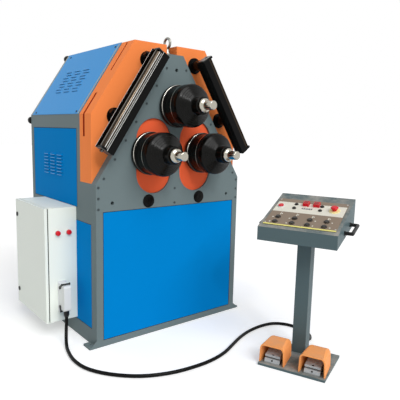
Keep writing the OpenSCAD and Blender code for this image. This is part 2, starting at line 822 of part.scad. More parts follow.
// connector
module connector_base() {
    color([0.72, 0.73, 0.72]) front_frame() {
        box([con_x - con_hw - 4, cab_front - 6, con_z0], [con_x + con_hw + 4, cab_front, con_z1]);
        difference() {
            box([con_x - con_hw, hood_y1, hood_z0 - 2], [con_x + con_hw, cab_front - 6, hood_z1 + 2]);
            for (z = [lever_z0, lever_z1]) {
                translate([con_x - con_hw - 1, lever_y, z]) rotate([0, 90, 0])
                    cylinder(r = lever_r + run_fit, h = 2 * con_hw + 2);
            }
        }
    }
}
module connector_hood() {
    color([0.78, 0.79, 0.78]) front_frame() {
        yz(con_x - con_hw, con_x + con_hw) polygon([
            [hood_y1, hood_z0], [hood_y1, hood_z1], [hood_y0 + 10, hood_z1], [hood_y0, hood_z1 - 12],
            [hood_y0, hood_z0 + 8], [hood_y0 + 8, hood_z0]
        ]);
    }
}
module lever(z, by, bz) {
    w = con_hw + 3;
    translate([con_x, lever_y, z]) {
        translate([-w, 0, 0]) rotate([0, 90, 0]) cylinder(r = lever_r, h = 2 * w);
        translate([-w, by, bz]) rotate([0, 90, 0]) cylinder(r = 5, h = 2 * w);
        both() yz(con_hw + 1, con_hw + 5) {
            circle(r = lever_r + 4);
            translate([by, bz]) circle(r = 7);
            rotate(atan2(bz, by)) translate([0, -5.5]) square([norm([by, bz]), 11]);
        }
    }
}
module upper_lever() {
    color(black) front_frame() lever(lever_z1, -30, hood_z1 + 7 - lever_z1);
}
module lower_lever() {
    color(black) front_frame() lever(lever_z0, -9, hood_z0 - 9 - lever_z0);
}
module cable_glands() {
    color(black) front_frame() {
        translate([con_x, con_gland_y, con_gland_z + 12]) cylinder(r = gland_r, h = 28, $fn = 12);
        translate([con_x, con_gland_y, con_gland_z]) cylinder(r1 = cable_r + 2, r2 = gland_r, h = 12);
        at_pedestal() translate([0, 0, col_gland[2]]) {
            ycyl(gland_r, col_w / 2, col_w / 2 + 16);
            ycone(gland_r, cable_r + 2, col_w / 2 + 16, col_w / 2 + 24);
        }
    }
}
module cable() {
    sides = 10;
    rings = len(path_all);
    points = [for (i = [0 : rings - 1]) let (t = tangent(i), u = unit(cross(t, side_ref)), w = cross(t, u))
        for (k = [0 : sides - 1])
            path_all[i] + cable_r * (cos(360 * k / sides) * u + sin(360 * k / sides) * w)];
    walls = [for (i = [0 : rings - 2]) for (k = [0 : sides - 1])
        [i * sides + k, i * sides + (k + 1) % sides, (i + 1) * sides + (k + 1) % sides, (i + 1) * sides + k]];
    first = [[for (k = [sides - 1 : -1 : 0]) k]];
    last = [[for (k = [0 : sides - 1]) (rings - 1) * sides + k]];
    color(black) front_frame() polyhedron(points = points, faces = concat(first, walls, last));
}

// pedestal
module pedestal_stand() {
    slope = con_front_h / con_d;
    c = col_w / 2;
    color(slate) front_frame() at_pedestal() {
        box([ped_bx - ped_w / 2, ped_by1 - ped_d, 0], [ped_bx + ped_w / 2, ped_by1, ped_t]);
        for (x = hood_x) {
            yz(x - 44, x + 44) polygon([
                [hood_front + 8, ped_t - 1], [hood_front + 8, ped_t + 6], [hood_front + 16, ped_t + 22],
                [hood_back - hood_t - body_gap, ped_t + 22], [hood_back - hood_t - body_gap, ped_t - 1]
            ]);
        }
        yz(-c, c) polygon([[-c, ped_t], [c, ped_t], [c, con_z + (c - con_y0) * slope],
            [-c, con_z + (-c - con_y0) * slope]]);
    }
}
module console_profile(d) {
    k = con_front_h / con_d;
    m = con_rise / con_d;
    polygon([
        [con_y0 + d, con_z + d * k + d], [con_y1 - d, con_z + con_front_h + d - d * k],
        [con_y1 - d, con_z_top + con_rise - d - d * m], [con_y0 + d, con_z_top - d + d * m]
    ]);
}
module console_box() {
    color(slate) front_frame() difference() {
        at_pedestal() difference() {
            yz(-con_w / 2, con_w / 2) console_profile(0);
            yz(-con_w / 2 + con_t, con_w / 2 - con_t) console_profile(con_t);
        }
        on_console() box([-face_hw + 8, face_v0 + 8, -20], [face_hw - 8, face_v1 - 8, 1]);
    }
}
module console_panel() {
    color([0.55, 0.48, 0.42]) front_frame() on_console() difference() {
        union() {
            box([-face_hw, face_v0, 0], [face_hw, face_v1, panel_t]);
            for (u = push_u) for (v = push_v) button_ring(u, v, push_r + 3.5, ring_h);
            for (u = key_u) for (v = key_v) button_ring(u, v, key_r + 3, ring_h - 1);
            button_ring(red_at[0], red_at[1], red_r + 4.5, ring_h - 1);
            for (u = readout_u) translate([u, readout_v, 0])
                box([-readout_hw, -17, panel_t], [readout_hw, 17, panel_t + 20]);
        }
        for (u = push_u) for (v = push_v) button_hole(u, v, push_r);
        for (u = key_u) for (v = key_v) button_hole(u, v, key_r);
        button_hole(red_at[0], red_at[1], red_r);
        button_hole(stop_at[0], stop_at[1], 11);
    }
}
module button_ring(u, v, r, h) {
    translate([u, v, panel_t]) cylinder(r = r, h = h);
}
module button_hole(u, v, r) {
    translate([u, v, -1]) cylinder(r = r + run_fit, h = panel_t + ring_h + 2);
}
module button(u, v, r) {
    translate([u, v, -4]) cylinder(r = r, h = panel_t + ring_h + 7);
    translate([u, v, panel_t + ring_h + 3]) cylinder(r1 = r, r2 = r - 1, h = 1);
}
module push_button(i, j) {
    color([0.16, 0.15, 0.14]) front_frame() on_console() button(push_u[i], push_v[j], push_r);
}
module key_button(i, j) {
    color(black) front_frame() on_console() button(key_u[i], key_v[j], key_r);
}
module push_a1() {
    push_button(0, 1);
}
module push_a2() {
    push_button(1, 1);
}
module push_a3() {
    push_button(2, 1);
}
module push_a4() {
    push_button(3, 1);
}
module push_b1() {
    push_button(0, 0);
}
module push_b2() {
    push_button(1, 0);
}
module push_b3() {
    push_button(2, 0);
}
module push_b4() {
    push_button(3, 0);
}
module key_a1() {
    key_button(0, 1);
}
module key_a2() {
    key_button(0, 0);
}
module key_b1() {
    key_button(1, 1);
}
module key_b2() {
    key_button(1, 0);
}
module red_button() {
    color(red) front_frame() on_console() button(red_at[0], red_at[1], red_r);
}
module stop_collar() {
    color(yellow) front_frame() on_console() translate([stop_at[0], stop_at[1], panel_t]) difference() {
        cylinder(r = stop_r + 9, h = 5);
        translate([0, 0, -1]) cylinder(r = 11 + run_fit, h = 7);
    }
}
module stop_button() {
    color(red) front_frame() on_console() translate([stop_at[0], stop_at[1], -4]) {
        cylinder(r = 11, h = panel_t + 18);
        translate([0, 0, panel_t + 18]) cylinder(r1 = stop_r - 5, r2 = stop_r, h = 6);
        translate([0, 0, panel_t + 24]) cylinder(r = stop_r, h = 4);
        translate([0, 0, panel_t + 28]) cylinder(r1 = stop_r, r2 = stop_r - 7, h = 5);
    }
}
module console_handles() {
    z0 = con_z + con_front_h * 0.84;
    run = handle_y[1] - handle_y[0];
    rise = run * con_rise / con_d * 0.52;
    len_h = sqrt(run * run + rise * rise);
    color(black) front_frame() at_pedestal() both() {
        translate([con_w / 2, handle_y[0], z0]) rotate([atan2(rise, run), 0, 0]) {
            rotate([0, 90, 0]) cylinder(r = handle_r + 3, h = 5);
            translate([0, len_h, 0]) rotate([0, 90, 0]) cylinder(r = handle_r + 3, h = 5);
            rotate([0, 90, 0]) cylinder(r = handle_r, h = handle_out);
            translate([0, len_h, 0]) rotate([0, 90, 0]) cylinder(r = handle_r, h = handle_out);
            translate([handle_out, 0, 0]) sphere(r = handle_r);
            translate([handle_out, len_h, 0]) sphere(r = handle_r);
            translate([handle_out, 0, 0]) rotate([-90, 0, 0]) cylinder(r = handle_r, h = len_h);
        }
    }
}

// pedals
module hood_front_shape(d) {
    w = hood_w / 2 - d;
    h = hood_h - d;
    polygon([[-w, -d * 4], [w, -d * 4], [w, 0], [w - 3, h - 22], [w - 7, h - 8], [w - 16, h], [16 - w, h],
        [7 - w, h - 8], [3 - w, h - 22], [-w, 0]]);
}
module hood_rear_shape(d, rise) {
    w = hood_w / 2 - hood_in - d;
    h = hood_h + rise - d;
    polygon([[-w, -d * 4], [w, -d * 4], [w, 0], [w - 2, h - 30], [w - 7, h - 10], [w - 18, h], [18 - w, h],
        [7 - w, h - 10], [2 - w, h - 30], [-w, 0]]);
}
// the front arch runs back to a narrower, slightly higher top that drops at the rear
module hood_form(d, y0) {
    hull() {
        xz(y0, y0 + 4) hood_front_shape(d);
        xz(hood_mid, hood_mid + 4) hood_rear_shape(d, hood_rise);
        xz(hood_back - d - 4, hood_back - d) hood_rear_shape(d, -hood_drop);
    }
}
module pedal_hood() {
    difference() {
        hood_form(0, hood_front);
        hood_form(hood_t, hood_front - 1);
    }
    difference() {
        union() {
            box([-52, treadle_y - 10, 0], [-46, hood_back - hood_t + 1, treadle_z + 10]);
            box([46, treadle_y - 10, 0], [52, hood_back - hood_t + 1, treadle_z + 10]);
        }
        translate([-60, treadle_y, treadle_z]) rotate([0, 90, 0]) cylinder(r = hinge_r + run_fit, h = 120);
    }
}
module pedal_guards() {
    color(orange) front_frame() at_pedestal() for (x = hood_x) translate([x, 0, ped_t]) pedal_hood();
}
module treadle(x) {
    color([0.63, 0.65, 0.66]) front_frame() at_pedestal() translate([x, 0, ped_t]) {
        yz(-44, 44) polygon([
            [treadle_y + 8, treadle_z - 6], [treadle_y + 8, treadle_z + 8],
            [hood_front + 22, treadle_z - 24], [hood_front + 19, treadle_z - 27],
            [hood_front + 19, treadle_z - 35], [treadle_y - 4, treadle_z - 6]
        ]);
        translate([-49, treadle_y, treadle_z]) rotate([0, 90, 0]) cylinder(r = hinge_r, h = 98);
    }
}
module left_pedal() {
    treadle(hood_x[0]);
}
module right_pedal() {
    treadle(hood_x[1]);
}

base_frame();
front_panel();
base_panels();
head_frame();
front_plate();
plate_fittings();
lift_cylinders();
left_guard();
right_guard();
lifting_eye();
casing_frame();
casing_side_panels();
casing_slope_panels();
casing_rear_cover();
left_guide_beam();
right_guide_beam();
guide_posts();
top_spindle();
top_roll();
left_carriage();
left_spindle();
left_roll();
right_carriage();
right_spindle();
right_roll();
left_guide_roller();
right_guide_roller();
cabinet_box();
cabinet_door();
upper_lock();
lower_lock();
cabinet_lamps();
connector_base();
connector_hood();
upper_lever();
lower_lever();
cable_glands();
cable();
pedestal_stand();
console_box();
console_panel();
console_handles();
pedal_guards();
left_pedal();
right_pedal();
stop_collar();
stop_button();
red_button();
push_a1();
push_a2();
push_a3();
push_a4();
push_b1();
push_b2();
push_b3();
push_b4();
key_a1();
key_a2();
key_b1();
key_b2();
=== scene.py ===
import math
import bmesh
import bpy
from mathutils import Matrix, Vector


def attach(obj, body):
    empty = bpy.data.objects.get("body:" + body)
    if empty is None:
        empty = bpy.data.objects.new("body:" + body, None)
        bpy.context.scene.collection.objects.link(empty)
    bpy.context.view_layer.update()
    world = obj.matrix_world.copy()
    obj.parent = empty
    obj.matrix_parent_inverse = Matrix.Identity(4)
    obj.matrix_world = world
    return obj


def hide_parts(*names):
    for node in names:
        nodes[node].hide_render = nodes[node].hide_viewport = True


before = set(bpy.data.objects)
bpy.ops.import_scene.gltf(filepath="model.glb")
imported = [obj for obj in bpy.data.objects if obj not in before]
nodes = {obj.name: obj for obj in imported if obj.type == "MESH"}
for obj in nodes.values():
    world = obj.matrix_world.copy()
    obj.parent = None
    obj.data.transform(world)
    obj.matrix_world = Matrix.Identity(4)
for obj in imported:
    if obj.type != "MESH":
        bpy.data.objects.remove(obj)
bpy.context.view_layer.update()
scene = bpy.context.scene
scene.view_settings.view_transform = "Standard"
print("frame loaded,", len(nodes), "nodes")

# where things are on the machine, in metres
place = {
    "plateY": -0.495,            # front face of the front plate
    "topRoll": (0.0, 1.438),     # x, z of the spindles
    "leftRoll": (-0.197, 1.151),
    "rightRoll": (0.197, 1.151),
    "apex": (0.049, 1.748),      # top corner of the plate's slope
    "shoulder": (0.550, 0.977),  # lower corner of it
    "pedestal": (0.397, -1.247),
    "pedestalTurn": math.radians(-68.3),
    "consoleFront": -0.213,      # front edge of the console, from the column
    "consoleTop": 0.777,
    "consoleSlope": math.atan2(0.145, 0.399),
    "footPlate": 0.013,          # thickness of the pedestal's foot plate
    "pedals": (-0.087, 0.140),   # middle of each pedal, across the foot plate
    "guardOff": 0.216,           # from the plate's slanted edge to the casing's slope
}


def toLinear(c):
    return tuple((v / 12.92 if v <= 0.04045 else ((v + 0.055) / 1.055) ** 2.4) for v in (x / 255 for x in c))


def rgba(c):
    return (*toLinear(c), 1.0)


def newObject(name, data):
    obj = bpy.data.objects.new(name, data)
    scene.collection.objects.link(obj)
    return obj


# camera: solved from the picture's own edges
cameraLook = {"at": (-1.76455, -2.90373, 1.29289), "turn": 39.366, "pitch": -8.358, "roll": 1.451,
              "lens": 42.37}


def makeCamera(look):
    turn, pitch, roll = (math.radians(look[k]) for k in ("turn", "pitch", "roll"))
    data = bpy.data.cameras.new("photoCamera")
    data.lens = look["lens"]
    data.sensor_width = 36
    data.clip_end = 100
    scene.camera = newObject("photoCamera", data)
    # turned from +Y to the right, tipped, then rolled
    aim = Matrix.Rotation(-turn, 4, "Z") @ Matrix.Rotation(math.pi / 2 + pitch, 4, "X")
    scene.camera.matrix_world = Matrix.Translation(look["at"]) @ aim @ Matrix.Rotation(roll, 4, "Z")


makeCamera(cameraLook)
print("camera set")

# node helpers


def newGroup(name, inputs, outputs):
    # every effect has the place on the piece as its first input
    tree = bpy.data.node_groups.new(name, "ShaderNodeTree")
    for label, kind, value in (("Vector", "Vector", (0, 0, 0)), *inputs):
        sock = tree.interface.new_socket(label, in_out="INPUT", socket_type="NodeSocket" + kind)
        sock.default_value = value
    for label, kind in outputs:
        tree.interface.new_socket(label, in_out="OUTPUT", socket_type="NodeSocket" + kind)
    return tree, tree.nodes.new("NodeGroupInput").outputs, tree.nodes.new("NodeGroupOutput")


def emptyTree(owner):
    owner.use_nodes = True
    owner.node_tree.nodes.clear()
    return owner.node_tree


def put(tree, kind, **values):
    node = tree.nodes.new("ShaderNode" + kind)
    for key, value in values.items():
        setattr(node, key, value)
    return node


def treeOf(*values):
    # tree of the first socket among the values
    return next(v.id_data for v in values if isinstance(v, bpy.types.NodeSocket))


def feed(sock, value):
    # a fixed value, or a link from another node
    if isinstance(value, bpy.types.NodeSocket):
        sock.id_data.links.new(value, sock)
    else:
        sock.default_value = value


def fill(node, **values):
    # inputs by name, with _ for a space
    for key, value in values.items():
        feed(node.inputs[key.replace("_", " ")], value)
    return node


def math2(how, a, b=0.0, clamp=False):
    node = put(treeOf(a, b), "Math", operation=how, use_clamp=clamp)
    feed(node.inputs[0], a)
    feed(node.inputs[1], b)
    return node.outputs[0]


def plus(a, b, clamp=False):
    return math2("ADD", a, b, clamp)


def minus(a, b):
    return math2("SUBTRACT", a, b)


def times(a, b):
    return math2("MULTIPLY", a, b)


def vector2(how, a, b):
    node = put(treeOf(a, b), "VectorMath", operation=how)
    feed(node.inputs[0], a)
    feed(node.inputs[1], b)
    return node.outputs


def mixColor(fac, a, b):
    node = put(treeOf(fac, a, b), "Mix", data_type="RGBA")
    for i, value in ((0, fac), (6, a), (7, b)):
        feed(node.inputs[i], value)
    return node.outputs[2]


def ramp(fac, lo, hi, outLo=0.0, outHi=1.0):
    node = put(treeOf(fac), "MapRange", clamp=True)
    for i, value in enumerate((fac, lo, hi, outLo, outHi)):
        feed(node.inputs[i], value)
    return node.outputs[0]


def noise(coord, scale, detail=3.0, rough=0.55):
    node = fill(put(treeOf(coord), "TexNoise"), Vector=coord, Scale=scale, Detail=detail, Roughness=rough)
    return node.outputs["Fac"]


def split(vector):
    return fill(put(treeOf(vector), "SeparateXYZ"), Vector=vector).outputs


# shared effects, each built once


def buildPaintFilm():
    tree, inp, out = newGroup("paintFilm", [
        ("Paint", "Color", (0.5, 0.5, 0.5, 1)), ("Mottle", "Float", 0.05), ("Roughness", "Float", 0.4),
        ("Peel Scale", "Float", 420.0)], [("Color", "Color"), ("Roughness", "Float"), ("Height", "Float")])
    broad = minus(noise(inp["Vector"], 2.3, 4.0), 0.5)
    fine = minus(noise(inp["Vector"], 38.0, 5.0, 0.65), 0.5)
    swing = plus(times(broad, 2.0), times(fine, 0.8))
    value = plus(times(swing, inp["Mottle"]), 1.0)
    shade = fill(put(tree, "HueSaturation"), Color=inp["Paint"], Value=value)
    rough = plus(inp["Roughness"], times(fine, 0.16), clamp=True)
    peel = noise(inp["Vector"], inp["Peel Scale"], 2.0)
    fill(out, Color=shade.outputs[0], Roughness=rough, Height=peel)
    return tree


def buildEdgeWear():
    tree, inp, out = newGroup("edgeWear", [("Reach", "Float", 0.002), ("Amount", "Float", 0.5)],
                              [("Mask", "Float"), ("Normal", "Vector")])
    normal = put(tree, "NewGeometry").outputs["Normal"]
    bevel = fill(put(tree, "Bevel", samples=6), Radius=inp["Reach"]).outputs[0]
    edge = ramp(vector2("DOT_PRODUCT", normal, bevel)["Value"], 0.995, 0.80)
    ragged = ramp(noise(inp["Vector"], 55.0, 6.0, 0.7), 0.44, 0.62)
    fill(out, Mask=times(times(edge, ragged), inp["Amount"]), Normal=bevel)
    return tree


def buildDustAndTopLight():
    # pale mix on up-facing faces: partly dust, partly painted light on their tops
    tree, inp, out = newGroup("dustAndTopLight", [("Amount", "Float", 0.3)], [("Mask", "Float")])
    normal = put(tree, "NewGeometry").outputs["Normal"]
    flat = ramp(split(normal)["Z"], 0.55, 1.0)
    cloud = ramp(noise(inp["Vector"], 9.0, 6.0, 0.7), 0.35, 0.75)
    fill(out, Mask=times(times(flat, cloud), inp["Amount"]))
    return tree


def buildTurnedRings():
    tree, inp, out = newGroup("turnedRings", [
        ("Axis X", "Float", 0.0), ("Axis Z", "Float", 0.0), ("Pitch", "Float", 0.002)],
        [(label, "Float") for label in ("Height", "Streak", "Radius", "Along", "Lean")])
    spot = split(inp["Vector"])
    dx = minus(spot["X"], inp["Axis X"])
    dz = minus(spot["Z"], inp["Axis Z"])
    radius = math2("SQRT", plus(times(dx, dx), times(dz, dz)))
    along = plus(radius, spot["Y"])
    turns = math2("DIVIDE", along, inp["Pitch"])
    wave = math2("SINE", times(turns, 2 * math.pi))
    line = fill(put(tree, "CombineXYZ"), X=along).outputs[0]
    bands = noise(line, 190.0, 4.0, 0.7)
    # 1 at the upper left of the turned piece, -1 opposite; the rolls' painted highlight is strongest where it
    # is 1
    lean = math2("DIVIDE", minus(times(dz, 0.53), times(dx, 0.85)), radius)
    fill(out, Height=plus(times(wave, 0.35), bands), Streak=bands, Radius=radius, Along=spot["Y"], Lean=lean)
    return tree


def buildBarTurn():
    # turn round a bar, counted from its front
    tree, inp, out = newGroup("barTurn", [("Start", "Vector", (0, 0, 0)), ("Outward", "Vector", (1, 0, 0))],
                              [("Turn", "Float")])
    away = vector2("SUBTRACT", inp["Vector"], inp["Start"])[0]
    rise = vector2("DOT_PRODUCT", away, inp["Outward"])["Value"]
    fill(out, Turn=math2("ARCTAN2", rise, times(split(away)["Y"], -1.0)))
    return tree


paintFilm = buildPaintFilm()
edgeWear = buildEdgeWear()
dustAndTopLight = buildDustAndTopLight()
turnedRings = buildTurnedRings()
barTurn = buildBarTurn()
print("shared effects built")

# materials: what all finishes share
coatLook = {"dustAndLight": (176, 172, 164), "dustAndLightRough": 0.5, "paintReach": 0.0022, "paintDeep": 0.0006,
            "steelReach": 0.0014, "steelDeep": 0.0004, "steelPeel": 260.0, "streakRough": 0.12,
            "pitch": 0.002}


def startMaterial(name):
    mat = bpy.data.materials.new(name)
    tree = emptyTree(mat)
    shader = put(tree, "BsdfPrincipled")
    fill(put(tree, "OutputMaterial"), Surface=shader.outputs[0])
    return mat, shader, put(tree, "TexCoord").outputs["Object"]


def useGroup(group, coord, **values):
    return fill(put(treeOf(coord), "Group", node_tree=group), Vector=coord, **values).outputs


def bumped(height, strength, distance, under):
    bump = put(treeOf(height), "Bump")
    return fill(bump, Height=height, Strength=strength, Distance=distance, Normal=under).outputs[0]


def paintMaterial(name, look):
    mat, shader, coord = startMaterial(name)
    film = useGroup(paintFilm, coord, Paint=rgba(look["color"]), Mottle=look.get("mottle", 0.04),
                    Roughness=look["rough"], Peel_Scale=look.get("peel", 420.0))
    wear = useGroup(edgeWear, coord, Reach=coatLook["paintReach"], Amount=look["wear"])
    dustAndLight = useGroup(dustAndTopLight, coord, Amount=look["dustAndLight"])["Mask"]
    worn = mixColor(wear["Mask"], film["Color"], rgba(look.get("bare", (150, 150, 148))))
    fill(shader, Base_Color=mixColor(dustAndLight, worn, rgba(coatLook["dustAndLight"])),
         Roughness=plus(film["Roughness"], times(dustAndLight, coatLook["dustAndLightRough"]), clamp=True),
         Normal=bumped(film["Height"], look["bump"], coatLook["paintDeep"], wear["Normal"]),
         Metallic=look.get("metal", 0.0), Specular_IOR_Level=look["specular"])
    return mat


def paintedHighlightBands(rings, look):
    # mask of the bands painted bright as a highlight, strongest at the upper left
    mask = 0.0
    for lo, hi in look["highlightBands"]:
        band = times(math2("GREATER_THAN", rings["Along"], lo), math2("LESS_THAN", rings["Along"], hi))
        mask = math2("MAXIMUM", mask, band)
    mask = times(mask, math2("GREATER_THAN", rings["Radius"], look["highlightFrom"]))
    return times(mask, ramp(rings["Lean"], 0.45, 0.90, 0.10, 1.0))


def steelMaterial(name, look):
    mat, shader, coord = startMaterial(name)
    x, z = look["axis"]
    rings = useGroup(turnedRings, coord, Axis_X=x, Axis_Z=z, Pitch=coatLook["pitch"])
    film = useGroup(paintFilm, coord, Paint=rgba(look["color"]), Mottle=look.get("mottle", 0.10),
                    Roughness=look["rough"], Peel_Scale=coatLook["steelPeel"])
    wear = useGroup(edgeWear, coord, Reach=coatLook["steelReach"], Amount=look.get("wear", 0.5))
    streak = ramp(rings["Streak"], 0.35, 0.7)
    toned = mixColor(times(streak, look["streak"]), film["Color"],
                     rgba(look.get("streakColor", (120, 116, 108))))
    toned = mixColor(wear["Mask"], toned, rgba(look.get("bare", (200, 198, 192))))
    metal = look["metal"]
    # bands painted bright as a highlight, fading away from the upper left
    if "highlightBands" in look:
        mask = paintedHighlightBands(rings, look)
        toned = mixColor(mask, toned, rgba(look["highlightColor"]))
        metal = math2("MAXIMUM", mask, metal)
    fill(shader, Base_Color=toned, Metallic=metal, Specular_IOR_Level=look.get("specular", 0.5),
         Roughness=plus(film["Roughness"], times(streak, coatLook["streakRough"]), clamp=True),
         Normal=bumped(rings["Height"], look["bump"], coatLook["steelDeep"], wear["Normal"]))
    return mat


def finish(color, rough, wear, dustAndLight, bump, specular=0.5, **more):
    return {"color": color, "rough": rough, "wear": wear, "dustAndLight": dustAndLight, "bump": bump,
            "specular": specular, **more}


# colour, roughness, edge wear, dust and painted top light, bump and shine, what is special to a finish, and
# the nodes it is on
looks = {
    "framePaint": finish((112, 126, 128), 0.4, 0.18, 0.04, 0.1, 0.05,
        on="base_frame head_frame front_plate casing_frame casing_rear_cover"),
    "bluePaint": finish((2, 131, 206), 0.34, 0.1, 0.03, 0.08, 0.004, mottle=0.02,
        on="front_panel base_panels casing_side_panels"),
    # lighter copy of the blue: painted light from above on the slope panels
    "slopeLitBlue": finish((80, 160, 226), 0.34, 0.1, 0.04, 0.08, 0.02, mottle=0.02, on="casing_slope_panels"),
    "guardPaint": finish((255, 144, 79), 0.42, 0.12, 0.03, 0.08, 0.02, mottle=0.03,
        on="left_guard right_guard"),
    "coverPaint": finish((255, 108, 66), 0.36, 0.15, 0.03, 0.1, 0.06, mottle=0.05,
        on="left_carriage right_carriage"),
    "blackPaint": finish((10, 10, 10), 0.22, 0.22, 0.02, 0.06, 0.09, bare=(70, 68, 64), mottle=0.08,
        on="left_guide_beam right_guide_beam guide_posts"),
    "cabinetPaint": finish((240, 246, 238), 0.45, 0.06, 0.03, 0.2, 0.06, peel=900.0, mottle=0.015,
        bare=(200, 202, 196), on="cabinet_box cabinet_door"),
    # its large dust amount mostly paints the top faces lighter, a painted light
    "slatePaint": finish((88, 106, 110), 0.42, 0.15, 1.2, 0.18, 0.08, peel=800.0,
        on="lift_cylinders pedestal_stand console_box"),
    "facePrint": finish((140, 124, 108), 0.5, 0.04, 0.04, 0.12, 0.2, peel=1400.0, mottle=0.06,
        on="console_panel"),
    "whitePrint": finish((230, 228, 215), 0.5, 0.04, 0.04, 0.1, 0.2, peel=1400.0),
    "yellowPrint": finish((247, 239, 138), 0.5, 0.04, 0.03, 0.1, 0.2, peel=1400.0),
    "blackPlastic": finish((14, 14, 14), 0.38, 0.1, 0.04, 0.25, 0.25, peel=1500.0, bare=(60, 60, 60),
        on="upper_lock lower_lock upper_lever lower_lever cable_glands console_handles"),
    "buttonPlastic": finish((40, 37, 34), 0.36, 0.2, 0.05, 0.15, 0.3, peel=1500.0, bare=(90, 88, 84),
        on="push_a1 push_a2 push_a3 push_a4 push_b1 push_b2 push_b3 push_b4 key_a1 key_a2 key_b1 key_b2"),
    "redPlastic": finish((215, 22, 38), 0.28, 0.05, 0.02, 0.06, 0.3, bare=(225, 90, 90),
        on="stop_button red_button"),
    "redLens": finish((150, 12, 22), 0.14, 0.05, 0.02, 0.04, 0.4, bare=(200, 70, 70)),
    "yellowPlastic": finish((250, 238, 170), 0.35, 0.05, 0.03, 0.08, 0.25, on="stop_collar"),
    "pedalPaint": finish((255, 168, 98), 0.48, 0.2, 0.3, 0.35, 0.06, peel=700.0, mottle=0.08,
        bare=(240, 208, 160), on="pedal_guards"),
    "treadleMetal": finish((176, 180, 182), 0.48, 0.35, 0.08, 0.3, 0.25, peel=600.0, metal=0.08,
        bare=(220, 220, 218), on="left_pedal right_pedal"),
    "castMetal": finish((224, 226, 226), 0.4, 0.3, 0.05, 0.3, peel=700.0, metal=0.1, bare=(228, 228, 226),
        on="connector_base connector_hood"),
    "zincPlate": finish((92, 96, 96), 0.34, 0.3, 0.03, 0.25, peel=500.0, metal=0.5, bare=(200, 200, 198)),
    "slotShadePaint": finish((150, 44, 16), 0.5, 0.0, 0.0, 0.08, 0.02),
    "edgeHighlight": finish((250, 250, 247), 0.3, 0.1, 0.0, 0.05, 0.3),
    "lipHighlightBlue": finish((140, 196, 244), 0.4, 0.0, 0.0, 0.08, 0.05),
    "trimPaint": finish((172, 172, 156), 0.45, 0.2, 0.03, 0.1, 0.1),
    "screwPaint": finish((70, 80, 82), 0.4, 0.15, 0.03, 0.08, 0.2),
    "darkGap": finish((16, 18, 20), 0.8, 0.0, 0.0, 0.1, 0.1),
    "cableRubber": finish((9, 9, 8), 0.36, 0.0, 0.02, 0.15, 0.1, peel=1200.0),
}
mats = {name: paintMaterial(name, look) for name, look in looks.items()}

rollSteel = {"color": (7, 7, 6), "metal": 0.0, "rough": 0.13, "bump": 0.14, "specular": 0.13, "mottle": 0.06,
             "streak": 0.05, "streakColor": (60, 56, 50), "wear": 0.25, "bare": (110, 106, 98),
             # bands painted bright as a highlight, by their place in y, from a radius on
             "highlightBands": ((-0.5300, -0.5276), (-0.6168, -0.6108)), "highlightFrom": 0.1270,
             "highlightColor": (226, 222, 212)}
brightSteel = {"color": (182, 178, 166), "metal": 1.0, "rough": 0.12, "bump": 0.06, "streak": 0.12}
steelLooks = {"eyeSteel": {"axis": (0.0, 1.829), "color": (150, 149, 142), "metal": 1.0, "rough": 0.30,
                           "bump": 0.10, "streak": 0.10, "on": "lifting_eye"}}
for spot in ("top", "left", "right"):
    steelLooks[spot + "RollSteel"] = {"axis": place[spot + "Roll"], **rollSteel}
    steelLooks[spot + "Bright"] = {"axis": place[spot + "Roll"], **brightSteel}
mats.update({name: steelMaterial(name, look) for name, look in steelLooks.items()})
print("materials made:", len(mats))

# the CAD nodes in their finishes
for name, look in (*looks.items(), *steelLooks.items()):
    for node in look.get("on", "").split():
        coats = nodes[node].data.materials
        coats.clear()
        coats.append(mats[name])
print("nodes dressed")

# mesh helpers


class Shape:
    def __init__(self):
        self.verts = []
        self.faces = []

    def add(self, verts, faces):
        base = len(self.verts)
        self.verts += [Vector(v) for v in verts]
        self.faces += [tuple(base + i for i in f) for f in faces]


def addMesh(name, shape, material, smooth=None, body="machine", standsFor=None):
    mesh = bpy.data.meshes.new(name)
    mesh.from_pydata([tuple(v) for v in shape.verts], [], shape.faces)
    bm = bmesh.new()
    bm.from_mesh(mesh)
    bmesh.ops.recalc_face_normals(bm, faces=bm.faces)
    bm.to_mesh(mesh)
    bm.free()
    if smooth is not None:
        mesh.polygons.foreach_set("use_smooth", [True] * len(mesh.polygons))
        mesh.set_sharp_from_angle(angle=math.radians(smooth))
    mesh.materials.append(mats[material])
    obj = newObject(name, mesh)
    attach(obj, body)
    if standsFor is not None:
        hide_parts(standsFor)


def ringed(shape, profile, matrix, count=48, closed=False):
    # turns (radius, along) points round the local Z axis
    rows = len(profile)
    verts = []
    for k in range(count):
        a = 2 * math.pi * k / count
        verts += [matrix @ Vector((r * math.cos(a), r * math.sin(a), z)) for r, z in profile]
    faces = []
    for k in range(count):
        n = (k + 1) % count
        for j in range(rows if closed else rows - 1):
            m = (j + 1) % rows
            faces.append((k * rows + j, n * rows + j, n * rows + m, k * rows + m))
    if not closed:
        faces += [tuple(k * rows + j for k in range(count)) for j in (0, rows - 1)]
    shape.add(verts, faces)


def corners(x0, y0, x1, y1, z):
    return [(x0, y0, z), (x1, y0, z), (x1, y1, z), (x0, y1, z)]


def slab(shape, matrix, lo, hi, edge=0.0):
    # box with its upper edges cut back by edge
    (x0, y0, z0), (x1, y1, z1) = lo, hi
    verts = corners(x0, y0, x1, y1, z0) + corners(x0, y0, x1, y1, z1 - edge)
    faces = [(0, 3, 2, 1), (0, 1, 5, 4), (1, 2, 6, 5), (2, 3, 7, 6), (3, 0, 4, 7)]
    if edge > 0:
        verts += corners(x0 + edge, y0 + edge, x1 - edge, y1 - edge, z1)
        faces += [(4, 5, 9, 8), (5, 6, 10, 9), (6, 7, 11, 10), (7, 4, 8, 11), (8, 9, 10, 11)]
    else:
        faces.append((4, 5, 6, 7))
    shape.add([matrix @ Vector(v) for v in verts], faces)


